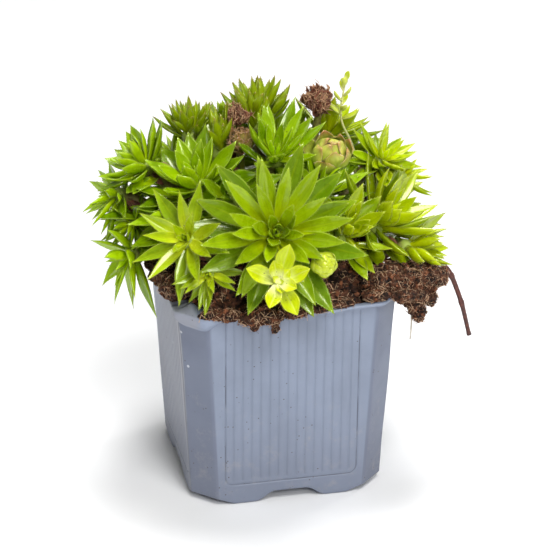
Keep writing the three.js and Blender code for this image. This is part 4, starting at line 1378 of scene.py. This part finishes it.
def quarter_columns():
    """Places round one side and the cut corner at its right, as (kind, value)."""
    marks = set()
    for i in range(FLUTES):
        middle = (i - (FLUTES - 1) / 2) * FLUTE_PITCH
        marks |= {middle + share * FLUTE_WIDTH for share in (-0.5, -0.26, 0, 0.26, 0.5)}
        marks.add(middle + FLUTE_PITCH / 2)
    for away in (-3.2, -2.4, -1.6, -0.9, -0.45, -0.22, 0, 0.22, 0.45):
        marks |= {PANEL_HALF + away, -PANEL_HALF - away}
    columns = [("reach", -share) for share in (0.8, 0.5, 0.2)]
    columns += [("side", u) for u in sorted(marks) if abs(u) < PANEL_HALF + 0.5]
    columns += [("reach", share) for share in (0.2, 0.5, 0.8)]
    columns += [("first", -90 + 45 * k / 4) for k in range(5)]
    columns += [("cut", k / 8) for k in range(1, 8)]
    columns += [("second", -45 + 45 * k / 4) for k in range(5)]
    return columns


def wall_point(kind, value, half):
    """Place and outward direction of a column on the outline of a given half width."""
    straight = half - CORNER_CUT
    tangent = EDGE_ROUND * math.tan(math.pi / 8)
    flat_end = straight - tangent
    panel_end = PANEL_HALF + 0.45
    first = Vector((flat_end, -half + EDGE_ROUND))
    second = Vector((half - EDGE_ROUND, -flat_end))
    if kind == "side":
        return Vector((value, -half)), Vector((0, -1))
    if kind == "reach":
        away = panel_end + abs(value) * (flat_end - panel_end)
        return Vector((math.copysign(away, value), -half)), Vector((0, -1))
    if kind == "cut":
        slant = Vector((1, -1)).normalized()
        ends = first + slant * EDGE_ROUND, second + slant * EDGE_ROUND
        return ends[0].lerp(ends[1], value), slant
    out = Vector((math.cos(math.radians(value)), math.sin(math.radians(value))))
    return (first if kind == "first" else second) + out * EDGE_ROUND, out


def pot_rows():
    """Rows up the outside, over the rim and down the inside, as (kind, height, reach past the wall)."""
    rows = [("foot", 0.0, -0.7), ("foot", 0.03, -0.2), ("foot", 0.09, 0.0)]
    rows += [("foot", share, 0.0) for share in (0.2, 0.35, 0.5, 0.65, 0.8, 0.92)]
    heights = [8.2, 8.45, 8.67, 8.9, 9.12, 9.35, 9.8, 10.3, 10.7, 11.1, 11.6, 12.1, 12.6, 13.4, 15]
    heights += [15 + 3.6 * k for k in range(1, 18)]
    heights += [POT_HEIGHT - 6, POT_HEIGHT - 4.2, POT_HEIGHT - 3.2, POT_HEIGHT - 2.4]
    rows += [("wall", z, 0.0) for z in heights]
    rim = [(-2.0, 0.1), (-1.5, 1.2), (-1.25, 1.75), (-0.8, 2.0), (-0.35, 1.9), (-0.08, 1.6)]
    rim += [(0.0, 1.1), (0.0, 0.1), (-0.1, -0.6), (-0.45, -0.95), (-1.2, -1.0)]
    rows += [("rim", POT_HEIGHT + dz, reach) for dz, reach in rim]
    rows += [("inside", POT_HEIGHT * share, -WALL) for share in (0.95, 0.86, 0.7, 0.5, 0.3, 0.16)]
    rows += [("floor", 0.6, -WALL), ("floor", 0.0, -WALL - 0.8)]
    return rows


def flare(spot, drop):
    """How far the wall is pushed out and down at the pressed corner, drop below the rim."""
    near = 1 - smooth(math.dist(spot[:2], FLARE_SPOT), 5, 14)
    out = near * FLARE_OUT * (1 - smooth(drop, 0, 12))
    down = near * FLARE_DROP * smooth(drop, 0, 2) * (1 - smooth(drop, 2, 16))
    return out, down


def ledge(spot, reach):
    """How far the rim's inner edge runs inward and up over the web at the bare corner."""
    near = (1 - smooth(math.dist(spot[:2], LEDGE_SPOT), 7, 17)) * smooth(-reach, 0.3, 0.9)
    return near * LEDGE_REACH, near * LEDGE_RISE


def pot_point(column, turn, row, depth, uneven):
    """One point of the pot's skin, in millimetres, with its share of flute and of outline."""
    kind, height, reach = row
    z, shares = height, (0.0, 0.0)
    if kind in ("foot", "floor"):
        edge = wall_point(*column, FOOT_HALF)[0]
        base = bottom_height(*edge) + (WALL if kind == "floor" else 0)
        top = 8.0 if kind == "foot" else base + 3
        z = base + (top - base) * height
    flat, out = wall_point(*column, body_half(z))
    if kind in ("foot", "wall") and column[0] in ("side", "reach"):
        shares = panel_shares(flat.x, z)
        reach -= depth * max(shares)
    flat = flat + out * reach
    round_ = Matrix.Rotation(turn * math.pi / 2, 3, "Z")
    spot, away = round_ @ Vector((flat.x, flat.y, z)), round_ @ Vector((out.x, out.y, 0))
    high = smooth(z, POT_HEIGHT - 14, POT_HEIGHT)
    drift = noise.noise(spot * 0.045 + Vector((3, 7, 1))) * smooth(z, 2, 20)
    ripple = noise.noise(Vector((spot.x, spot.y, 40)) * 0.12) * high
    corner = smooth(abs(flat.x), 10, 40)
    pushed, dropped = flare(spot, POT_HEIGHT - z)
    inward, raised = ledge(spot, reach) if kind == "rim" else (0.0, 0.0)
    spot += away * (uneven * (drift + 2.2 * ripple) + pushed - inward)
    spot.z += raised
    waves = uneven * 1.5 * noise.noise(Vector((spot.x, spot.y, 9)) * 0.09)
    spot.z += high * (RIM_SAG * (corner - 0.6) + waves)
    spot.z -= dropped
    # The corner share marks the cut corners, where the pot's material paints shade.
    corner = 1.0 if column[0] in ("first", "cut", "second") and kind in ("foot", "wall") else 0.0
    # The lip share marks the rim and the ledge's web, where the pot's material paints light.
    lip = max(smooth(reach, 0.2, 1.6), inward / LEDGE_REACH) if kind == "rim" else 0.0
    return spot, (*shares, corner, lip)


def pot_mesh(depth, uneven):
    """The whole pot as one closed skin: outside, rim, inside, floor and underside."""
    columns = [(column, turn) for turn in range(4) for column in quarter_columns()]
    rows = pot_rows()
    made = [pot_point(column, turn, row, depth, uneven) for row in rows for column, turn in columns]
    points = [spot for spot, shares in made]
    ring = len(columns)
    faces = []

    def bridge(low, high):
        for k in range(ring):
            m = (k + 1) % ring
            faces.append((low + k, low + m, high + m, high + k))

    for r in range(len(rows) - 1):
        bridge(r * ring, (r + 1) * ring)
    inward = [1 - k / 16 for k in range(1, 16)] + [0.03]
    for start, lift, flip in ((0, 0.0, True), ((len(rows) - 1) * ring, WALL, False)):
        edge = points[start : start + ring]
        last = start
        for share in inward:
            here = len(points)
            flat = [(p.x * share, p.y * share) for p in edge]
            points += [Vector((x, y, bottom_height(x, y) + lift)) for x, y in flat]
            if flip:
                bridge(here, last)
            else:
                bridge(last, here)
            last = here
        cap = tuple(range(last, last + ring))
        faces.append(tuple(reversed(cap)) if flip else cap)
    spare = [0.0] * (len(points) - len(made))
    kinds = zip(("flute", "outline", "corner", "lip"), zip(*(shares for spot, shares in made)))
    return points, faces, {name: [*values, *spare] for name, values in kinds}


def drain_cutter():
    """Short rods through the pot's floor, where the drain holes go."""
    points, faces = [], []
    for x, y in ((0, 0), (1, 0), (0, 1), (-1, 0), (0, -1)):
        spot = Vector((x * DRAIN_REACH, y * DRAIN_REACH, 0))
        line = [spot + Vector((0, 0, z)) for z in (-3, 9)]
        rods, sides = tube(line, [DRAIN_RADIUS] * 2, 24)
        faces += [tuple(k + len(points) for k in side) for side in sides]
        points += rods
    return new_object("drain_cutter", mesh_of("drain_cutter", points, faces))


class BuildPot(bpy.types.Operator):
    """Moulds the square pot with its rim, flutes, panel lines, notched feet and drain holes"""

    bl_idname = "succulents.build_pot"
    bl_label = "Build Pot"

    def execute(self, context):
        settings = context.scene.pot_settings
        points, faces, shares = pot_mesh(settings.flute_depth / MM, settings.unevenness / MM)
        pot = new_object("pot_moulded", mesh_of("pot_moulded", points, faces, shares))
        cutter = drain_cutter()
        cut = pot.modifiers.new("Drain holes", "BOOLEAN")
        cut.operation = "DIFFERENCE"
        cut.solver = "EXACT"
        cut.object = cutter
        bake_modifiers(pot)
        discard(cutter)
        dress(pot, pot_material(settings.colour))
        finish_piece(pot, "pot", "pot_plastic")
        return {"FINISHED"}


# ---- Soil ---------------------------------------------------------------------------------

def roughen_soil(mesh):
    """Breaks up the part of the plug that shows, in soft lumps and small crumbs."""
    normals = [v.normal.copy() for v in mesh.vertices]
    pits = [0.0] * len(normals)
    for vertex, normal in zip(mesh.vertices, normals):
        spot = in_pot(vertex.co)
        shows = smooth(spot.z, POT_HEIGHT - 2.5, POT_HEIGHT + 1)
        if max(abs(spot.x), abs(spot.y)) > RIM_HALF + 0.5:
            shows = 1.0
        if shows == 0:
            continue
        lumps = noise.turbulence(spot * 0.16, 3, False)
        crumbs = noise.noise(spot * 0.75)
        # Pits are pushed in, and their share is kept for the painted shade that the soil's material puts in
        # them.
        pit = max(0.0, -0.06 - noise.noise(spot * 0.33 + Vector((5, 5, 5)))) * shows
        pits[vertex.index] = min(1.0, 4 * pit)
        vertex.co += normal * (MM * shows * (1.3 * (lumps - 0.6) + 0.8 * crumbs - 4.5 * pit))
    set_attribute(mesh, "pit", pits)


def loose_turn(t, seed, normal, lies_flat):
    """A turn for each point: flat on its face with any spin, or any way at all."""
    any_way = t.add(
        "FunctionNodeRandomValue", (0, 0, 0), (FULL_TURN,) * 3, named={"Seed": seed},
        data_type="FLOAT_VECTOR",
    )
    flat = t.add("FunctionNodeAlignRotationToVector", named={"Vector": normal}, axis="Z")
    spin = t.add("ShaderNodeCombineXYZ", 0.0, 0.0, t.times(t.draw(seed), FULL_TURN))
    flat = t.add("FunctionNodeRotateRotation", flat, spin, rotation_space="LOCAL")
    return t.add(
        "GeometryNodeSwitch",
        named={"Switch": t.math("GREATER_THAN", lies_flat, 0.5), "False": any_way, "True": flat},
        input_type="ROTATION",
    )


def scatter_group():
    """Geometry Nodes: copies of one small shape, spread over the faces that show."""
    group, t, given, result = new_group(
        "Scatter on soil",
        "GeometryNodeTree",
        [
            ("Soil", "NodeSocketGeometry", None),
            ("Shape", "NodeSocketObject", None),
            ("For each square metre", "NodeSocketFloat", 1000.0),
            ("Smallest", "NodeSocketFloat", 0.5),
            ("Largest", "NodeSocketFloat", 1.5),
            ("Lie flat", "NodeSocketFloat", 1.0),
            ("Above", "NodeSocketFloat", 0.0),
            ("Seed", "NodeSocketInt", 1),
            ("Material", "NodeSocketMaterial", None),
        ],
        [("Pieces", "NodeSocketGeometry")],
    )
    seed = given.outputs["Seed"]
    height = t.add("ShaderNodeSeparateXYZ", t.add("GeometryNodeInputPosition"), out="Z")
    shows = t.add(
        "FunctionNodeCompare", height, given.outputs["Above"], data_type="FLOAT", operation="GREATER_THAN"
    )
    spread = t.add(
        "GeometryNodeDistributePointsOnFaces",
        named={
            "Mesh": given.outputs["Soil"],
            "Selection": shows,
            "Density": given.outputs["For each square metre"],
            "Seed": seed,
        },
    ).node

    marked = t.add(
        "GeometryNodeStoreNamedAttribute",
        named={
            "Geometry": spread.outputs["Points"],
            "Name": "draw",
            "Value": t.draw(t.math("ADD", seed, 5.0)),
        },
        data_type="FLOAT", domain="POINT",
    )
    shape = t.add("GeometryNodeObjectInfo", given.outputs["Shape"], out="Geometry")
    copies = t.add(
        "GeometryNodeInstanceOnPoints",
        named={
            "Points": marked,
            "Instance": shape,
            "Rotation": loose_turn(t, seed, spread.outputs["Normal"], given.outputs["Lie flat"]),
            "Scale": t.draw(seed, given.outputs["Smallest"], given.outputs["Largest"]),
        },
    )
    made = t.add("GeometryNodeRealizeInstances", copies)
    material = given.outputs["Material"]
    made = t.add("GeometryNodeSetMaterial", named={"Geometry": made, "Material": material})
    group.links.new(made, result.inputs[0])
    return group


def crumb_shape():
    """A small angular lump."""
    work = bmesh.new()
    bmesh.ops.create_icosphere(work, subdivisions=1, radius=0.5 * MM)
    for k, vertex in enumerate(work.verts):
        vertex.co *= 1 + 0.35 * wobble(k, 11)
        vertex.co.z *= 0.65
    mesh = bpy.data.meshes.new("crumb_shape")
    work.to_mesh(mesh)
    work.free()
    return new_object("crumb_shape", mesh)


def fibre_shape(name, length, curl, thick):
    """A thin fibre that lies along X, curled by curl radians."""
    line, radii = [], []
    for k in range(FIBRE_STEPS):
        t = k / (FIBRE_STEPS - 1) - 0.5
        bent = Vector((math.sin(curl * t), math.cos(curl * t) - 1 + 0.25 * math.sin(9 * t), 0))
        line.append(bent * (length / curl) + Vector((0, 0, 0.35 + 0.3 * math.cos(5 * t))))
        radii.append(thick * (0.4 + 0.6 * math.sin(math.pi * (k + 0.6) / (FIBRE_STEPS + 0.2))))
    points, faces = tube(line, radii, 3)
    mesh = bpy.data.meshes.new(name)
    mesh.from_pydata([p * MM for p in points], [], faces)
    return new_object(name, mesh)


def heap_mesh(name, heaps):
    """Rough lumps of soil, one for each row of middle and half sizes."""
    work = bmesh.new()
    for x, y, z, wide, deep, high in heaps:
        place = Matrix.Translation((x, y, z)) @ Matrix.Diagonal((wide, deep, high, 1))
        made = bmesh.ops.create_icosphere(work, subdivisions=4, radius=1, matrix=place)
        middle = Vector((x, y, z))
        for vertex in made["verts"]:
            rough = 0.22 * noise.noise(vertex.co * 0.35) + 0.14 * noise.noise(vertex.co * 1.1)
            vertex.co = in_row(middle + (vertex.co - middle) * (1 + rough))
    mesh = bpy.data.meshes.new(name)
    work.to_mesh(mesh)
    work.free()
    return mesh


def scatter(name, ground, shape, count, sizes, flat, above, seed, look, slot):
    """Spreads copies of a small shape over a piece, count for each square centimetre."""
    group = bpy.data.node_groups.get("Scatter on soil") or scatter_group()
    values = {
        "Shape": shape, "For each square metre": count * 1e4, "Smallest": sizes[0], "Largest": sizes[1],
        "Lie flat": flat, "Above": above, "Seed": seed, "Material": look,
    }
    finish_piece(grown(name, ground, group, values), slot=slot)


class FillSoil(bpy.types.Operator):
    """Fills the pot with peat: the rough plug, its loose crumbs and its fibres"""

    bl_idname = "succulents.fill_soil"
    bl_label = "Fill Soil"

    def execute(self, context):
        settings = context.scene.soil_settings
        material = soil_material(settings.colour)
        work = bmesh.new()
        work.from_mesh(frame["nodes"]["soil"].data)
        bmesh.ops.remove_doubles(work, verts=work.verts, dist=1e-6)
        mesh = bpy.data.meshes.new("soil_plug")
        work.to_mesh(mesh)
        work.free()
        soil = new_object("soil_plug", mesh)
        remesh = soil.modifiers.new("Even faces", "REMESH")
        remesh.mode = "VOXEL"
        remesh.voxel_size = SOIL_VOXEL * MM
        bake_modifiers(soil)
        roughen_soil(soil.data)
        spill = new_object("soil_spill", heap_mesh("soil_spill", SPILLS))
        dress(soil, material)
        dress(spill, material)
        self.loosen(settings, soil, spill, material)
        finish_piece(soil, "soil", "peat_soil")
        finish_piece(spill, slot="peat_soil")
        return {"FINISHED"}

    def loosen(self, settings, soil, spill, material):
        """Lays crumbs and fibres on the plug and on what spills over the rim."""
        above = in_row((0, 0, POT_HEIGHT - 6)).z
        fibre_look = fibre_material("coir_fibre", (0.06, 0.02, 0.009), (0.62, 0.40, 0.24), 0.7)
        crumb = crumb_shape()
        straw, curl = fibre_shape("straw", 6.5, 1.1, 0.16), fibre_shape("curl", 5, 3.4, 0.12)
        size = settings.crumb_size / MM
        rows = [
            ("soil_crumbs", soil, crumb, settings.crumbs, 0.3 * size, 1.7 * size, 0.0, 3, material),
            ("soil_straws", soil, straw, settings.fibres / 2, 0.25, 1.0, 1.0, 8, fibre_look),
            ("soil_curls", soil, curl, settings.fibres / 2, 0.2, 0.8, 1.0, 18, fibre_look),
            ("spill_crumbs", spill, crumb, 2 * settings.crumbs, 0.25 * size, 1.0 * size, 0.0, 4, material),
            ("spill_straws", spill, straw, settings.fibres, 0.2, 0.8, 1.0, 9, fibre_look),
            ("spill_curls", spill, curl, settings.fibres, 0.2, 0.7, 1.0, 19, fibre_look),
        ]
        for name, ground, shape, count, smallest, largest, flat, seed, look in rows:
            low = above if ground == soil else 0.0
            scatter(name, ground, shape, count, (smallest, largest), flat, low, seed, look, "peat_soil")
        discard(crumb, straw, curl)


# ---- Plants -------------------------------------------------------------------------------

class GrowRosettes(bpy.types.Operator):
    """Grows every rosette, green or dry, with its stem, in the places that the model gives"""

    bl_idname = "succulents.grow_rosettes"
    bl_label = "Grow Rosettes"

    def execute(self, context):
        settings = context.scene.leaf_settings
        trees = model_trees()
        stem_look, dry_look = stem_material(), dry_leaf_material()
        looks, patterns, placed, withered = {"dry_leaf": dry_look}, {}, [], []
        for seed, row in enumerate(ROSETTES, 1):
            rosette = Rosette(seed, row)
            slot = SLOTS[rosette.name]
            leaves = model_leaves(rosette, trees[rosette.name])
            if not leaves:
                raise RuntimeError(f"the model shows no leaf of {rosette.name}")
            for leaf in leaves:
                taper_leaf(leaf, rosette)
            leaves += added_leaves(rosette, leaves, trees, placed)
            withered += withered_leaves(rosette)
            if slot not in looks:
                looks[slot] = leaf_material(slot, settings.roughness)
            key = (rosette.habit_name, rosette.name in FINE)
            if key not in patterns:
                patterns[key] = leaf_pattern(*key, settings.fringe)
            broader, longer, recurved, sag, lighter = TRAITS.get(rosette.name, USUAL_TRAITS)
            finish = dict(rosette.habit, sag=sag)
            finish["hook"] -= recurved
            finish["slim"] *= broader
            for leaf in leaves:
                leaf.length *= longer
                leaf.draw += lighter
            piece = grow_leaves(
                rosette.name + "_leaves", leaves, finish, seed, patterns[key],
                stem_mesh(rosette), looks[slot], stem_look,
            )
            finish_piece(piece, rosette.name, slot)
            if rosette.habit_name == "dry":
                lay_strands(rosette.name, piece, rosette.centre, seed)
        piece = grow_leaves(
            "withered_leaves", withered, HABITS["dry"], WITHER_SEED, patterns[("dry", False)],
            None, dry_look, dry_look,
        )
        finish_piece(piece, slot="dry_leaf")
        discard(*patterns.values())
        return {"FINISHED"}


def lay_strands(name, piece, centre, seed):
    """Curled pale strands over a dead rosette or an old bud."""
    strand = fibre_shape("strand", 5, 3.0, 0.14)
    look = bpy.data.materials.get("dry_strand") or fibre_material(
        "dry_strand", (0.07, 0.018, 0.01), (0.56, 0.33, 0.17), 0.6
    )
    low = in_row(centre).z
    scatter(name + "_strands", piece, strand, 24, (0.5, 1.2), 1.0, low, seed, look, "dry_leaf")
    discard(strand)


def leaf_pattern(habit_name, fine, fringe):
    """The flat pattern of one leaf of a habit, finer for the rosettes in front."""
    rows, columns, hairs = (14, 9, 34) if fine else (10, 7, 14)
    if habit_name == "dry":
        rows, columns, hairs = 9, 5, 0
    return leaf_template(f"{habit_name}_leaf", HABITS[habit_name], 0.42, rows, columns, hairs, fringe)


def withered_leaves(rosette):
    """A few dead leaves that hang round the stem, just under the crown."""
    if rosette.habit_name in ("dry", "broad"):
        return []
    made = []
    for k in range(WITHERED):
        radial = rosette.direction(rosette.spin + 30 + k * GOLDEN)
        draw = wobble(rosette.seed, WITHER_DRAW + k)
        made.append(
            Leaf(
                root=rosette.centre + radial * (0.3 * rosette.crown) - rosette.up * (0.9 * rosette.crown),
                radial=radial,
                up=rosette.up,
                rise=math.radians(-38 + 25 * draw),
                bend=math.radians(-60 - 30 * draw),
                length=rosette.size * (0.36 + 0.08 * draw),
                width=0.2 * rosette.size,
                thick=0.7,
                widest=0.5,
                age=1.0,
                draw=draw,
            )
        )
    return made


def bud_leaf(centre, axes, size, spin, seed, i, count, flare):
    """Scale number i of a closed ball, following the ball's curve upward. Some old ones stand open."""
    up, across, along = axes
    t = (i + 0.5) / count
    turn = math.radians(spin + i * GOLDEN + 5 * wobble(seed, 5 * i))
    radial = along * math.cos(turn) + across * math.sin(turn)
    polar = math.radians(38 + 92 * t)
    length = size * (0.85 + 0.5 * t)
    open_ = max(0.0, wobble(seed, 5 * i + 2)) * t if flare else 0.0
    return Leaf(
        root=centre + radial * (0.9 * size * math.sin(polar)) + up * (0.9 * size * math.cos(polar)),
        radial=radial,
        up=up,
        rise=math.pi - polar - 0.14,
        bend=(0.92 - 0.6 * open_ - (0.08 if flare else 0.0)) * length / size,
        length=length,
        width=(0.95 + 0.3 * t) * size,
        thick=max(0.5, 0.1 * size),
        widest=0.5,
        age=t,
        draw=wobble(seed, 5 * i + 4),
    )


class SetBuds(bpy.types.Operator):
    """Sets the closed ball offsets on their short stalks"""

    bl_idname = "succulents.set_buds"
    bl_label = "Set Buds"

    def execute(self, context):
        settings = context.scene.leaf_settings
        shape = dict(widest=0.5, point=0.8, dome=0.5)
        pattern = leaf_template("bud_scale", shape, 0.6, 11, 8, 18, 0.6 * settings.fringe)
        for k, (name, x, y, z, lean, round_, size, count, spin, flare, crumple) in enumerate(BUDS):
            seed, centre, axes = BUD_SEED + k, Vector((x, y, z)), rosette_axes(lean, round_)
            scales = [bud_leaf(centre, axes, size, spin, seed, i, count, flare) for i in range(count)]
            habit = dict(slim=1.0, plump=1.0, cup=0.42, hook=-flare, twist=6, crumple=crumple)
            look = leaf_material(SLOTS[name], settings.roughness + 0.08)
            stem = self.stalk(name, centre, axes[0], stem_foot(x, y), size)
            piece = grow_leaves(name + "_scales", scales, habit, seed, pattern, stem, look, look)
            finish_piece(piece, name, SLOTS[name])
            if SLOTS[name] == "bud_brown":
                lay_strands(name, piece, centre, seed)
        discard(pattern)
        return {"FINISHED"}

    def stalk(self, name, centre, up, foot, size):
        """The thin stalk and the ball that the scales lie on."""
        line = stem_line(foot, centre - up * (0.95 * size), up, 12)
        radii = [1.1] * len(line)
        for k in range(1, 11):
            polar = math.pi * (1 - k / 11)
            line.append(centre + up * (0.86 * size * math.cos(polar)))
            radii.append(0.86 * size * math.sin(polar))
        return new_object(name + "_stalk", mesh_of(name + "_stalk", *tube(line, radii, 20)))


class AddStragglers(bpy.types.Operator):
    """Adds the thin sprig behind, the dry runner and the loose white root"""

    bl_idname = "succulents.add_stragglers"
    bl_label = "Add Stragglers"

    def execute(self, context):
        self.sprig(context.scene.leaf_settings)
        runner = fibre_material("dry_runner", (0.05, 0.012, 0.008), (0.20, 0.05, 0.03), 0.45)
        rootlet = fibre_material("pale_root", (0.45, 0.40, 0.32), (0.80, 0.76, 0.68), 0.6)
        rows = [("stolon", STOLON, 60, 1.1, 10, runner), ("fine_root", ROOTLET, 26, 0.38, 6, rootlet)]
        for name, spots, steps, radius, sides, look in rows:
            line = [catmull(spots, k / (steps - 1)) for k in range(steps)]
            radii = [self.knotty(radius, k / (steps - 1), name == "stolon") for k in range(steps)]
            piece = new_object(name + "_line", mesh_of(name + "_line", *tube(line, radii, sides)))
            dress(piece, look)
            finish_piece(piece, name, SLOTS[name])
        return {"FINISHED"}

    def knotty(self, radius, t, has_knots):
        """Radius along a runner: swollen at its joints, thin at its end."""
        swell = 0.28 * max(0.0, math.cos(t * 5 * 2 * math.pi)) ** 8 if has_knots else 0.0
        return radius * (1 + swell) * (1 - 0.25 * t**3)

    def sprig(self, settings):
        """A thin pale stem with small leaves near its top."""
        up, across = Vector((0.1, 0, 1)).normalized(), Vector((0, 1, 0))
        along = across.cross(up)
        leaves = []
        for i in range(SPRIG_LEAVES):
            turn = math.radians(i * GOLDEN)
            leaves.append(
                Leaf(
                    root=catmull(SPRIG, 0.66 + 0.04 * i),
                    radial=along * math.cos(turn) + across * math.sin(turn),
                    up=up,
                    rise=math.radians(12 + 6 * i),
                    bend=math.radians(24),
                    length=7 - 0.3 * i,
                    width=2.8,
                    thick=0.9,
                    widest=0.6,
                    age=1 - i / SPRIG_LEAVES,
                    draw=wobble(SPRIG_SEED, i),
                )
            )
        shape = dict(widest=0.6, point=0.8, dome=0.2)
        pattern = leaf_template("sprig_leaf", shape, 0.3, 10, 6, 0, 0.0)
        line = [catmull(SPRIG, k / 29) for k in range(30)]
        radii = [0.62 - 0.3 * (k / 29) for k in range(30)]
        stem = new_object("sprig_stem", mesh_of("sprig_stem", *tube(line, radii, 8)))
        look = leaf_material("sprig_green", settings.roughness + 0.1)
        habit = dict(slim=1.0, plump=1.0, cup=0.3, hook=0.03, twist=10, crumple=0.2)
        piece = grow_leaves("sprig_leaves", leaves, habit, SPRIG_SEED, pattern, stem, look, look)
        discard(pattern)
        finish_piece(piece, "sprig", "sprig_green")


# ---- Stage --------------------------------------------------------------------------------

class SetStage(bpy.types.Operator):
    """Lays a pale floor and sets soft studio lights and the camera"""

    bl_idname = "succulents.set_stage"
    bl_label = "Set Stage"

    def execute(self, context):
        settings = context.scene.stage_settings
        self.floor()
        self.lights(context.scene, settings.light)
        self.camera(context.scene, settings)
        return {"FINISHED"}

    def floor(self):
        """A wide pale floor."""
        mesh = bpy.data.meshes.new("floor")
        corners = [(FLOOR_HALF * x, FLOOR_HALF * y, 0) for x, y in ((-1, -1), (1, -1), (1, 1), (-1, 1))]
        mesh.from_pydata(corners, [], [(0, 1, 2, 3)])
        floor = new_object("floor", mesh)
        material, _, shader = new_material("pale_floor")
        shader.inputs["Base Color"].default_value = (0.86, 0.86, 0.86, 1)
        shader.inputs["Roughness"].default_value = 0.7
        mesh.materials.append(material)

    def lights(self, scene, strength):
        """A pale surround, a broad key and a high light in front, a top light and one at each side."""
        world = bpy.data.worlds.new("surround")
        world.use_nodes = True
        world.node_tree.nodes["Background"].inputs["Color"].default_value = (1, 1, 1, 1)
        world.node_tree.nodes["Background"].inputs["Strength"].default_value = 0.14 * strength
        scene.world = world
        # Each lamp's name, place and size in metres, and power in watts.
        rows = [
            ("key", (0.1, -1.4, 0.95), 0.4, 10.5),
            ("high", (0.1, -0.75, 1.25), 0.45, 12),
            ("top", (0.1, 0.25, 1.35), 0.45, 14.5),
            ("glare", (1.1, 0.5, 0.85), 0.35, 3.5),
            ("fill", (-1.4, 0.2, 0.6), 0.6, 3),
        ]
        for name, place, size, power in rows:
            light = bpy.data.lights.new(name, "AREA")
            light.shape = "SQUARE"
            light.size = size
            light.energy = power * strength
            lamp = bpy.data.objects.new(name, light)
            lamp.location = place
            aim = Vector(LIT_SPOT) - lamp.location
            lamp.rotation_euler = aim.to_track_quat("-Z", "Y").to_euler()
            scene.collection.objects.link(lamp)

    def camera(self, scene, settings):
        """A long lens that looks at the middle of the part."""
        low, high = CAD_BOX
        aim = (low + high) / 2 + Vector(AIM_SHIFT)
        level = math.cos(settings.elevation)
        across, away = math.sin(settings.azimuth) * level, math.cos(settings.azimuth) * level
        back = Vector((across, -away, math.sin(settings.elevation)))
        data = bpy.data.cameras.new("camera")
        data.lens = settings.lens
        data.clip_end = 20
        camera = bpy.data.objects.new("camera", data)
        camera.location = aim + back * settings.distance
        camera.rotation_euler = (-back).to_track_quat("-Z", "Y").to_euler()
        scene.collection.objects.link(camera)
        scene.camera = camera
        scene.view_settings.view_transform = "Standard"


class SucculentPanel(bpy.types.Panel):
    """Lists the steps that build the potted clump"""

    bl_idname = "VIEW3D_PT_succulents"
    bl_label = "Hens and Chicks"
    bl_space_type = "VIEW_3D"
    bl_region_type = "UI"
    bl_category = "Succulents"

    def draw(self, context):
        scene = context.scene
        for settings, names in (
            (scene.pot_settings, ("flute_depth", "unevenness", "colour")),
            (scene.soil_settings, ("crumbs", "crumb_size", "fibres", "colour")),
            (scene.leaf_settings, ("fringe", "roughness")),
            (scene.stage_settings, ("azimuth", "elevation", "distance", "lens", "light")),
        ):
            box = self.layout.box()
            for name in names:
                box.prop(settings, name)
        for step in STEPS:
            self.layout.operator(step.bl_idname)


GROUPS = {
    "pot_settings": PotSettings,
    "leaf_settings": LeafSettings,
    "soil_settings": SoilSettings,
    "stage_settings": StageSettings,
}
STEPS = (BuildPot, FillSoil, GrowRosettes, SetBuds, AddStragglers, SetStage)


def register():
    for cls in (*GROUPS.values(), *STEPS, SucculentPanel):
        bpy.utils.register_class(cls)
    for name, cls in GROUPS.items():
        setattr(bpy.types.Scene, name, bpy.props.PointerProperty(type=cls))


def unregister():
    for name in GROUPS:
        delattr(bpy.types.Scene, name)
    for cls in reversed((*GROUPS.values(), *STEPS, SucculentPanel)):
        bpy.utils.unregister_class(cls)


def main():
    """Builds everything in order. The model's size is noted before, on import."""
    register()
    for step in STEPS:
        group, name = step.bl_idname.split(".")
        getattr(getattr(bpy.ops, group), name)()


if __name__ == "__main__":
    main()
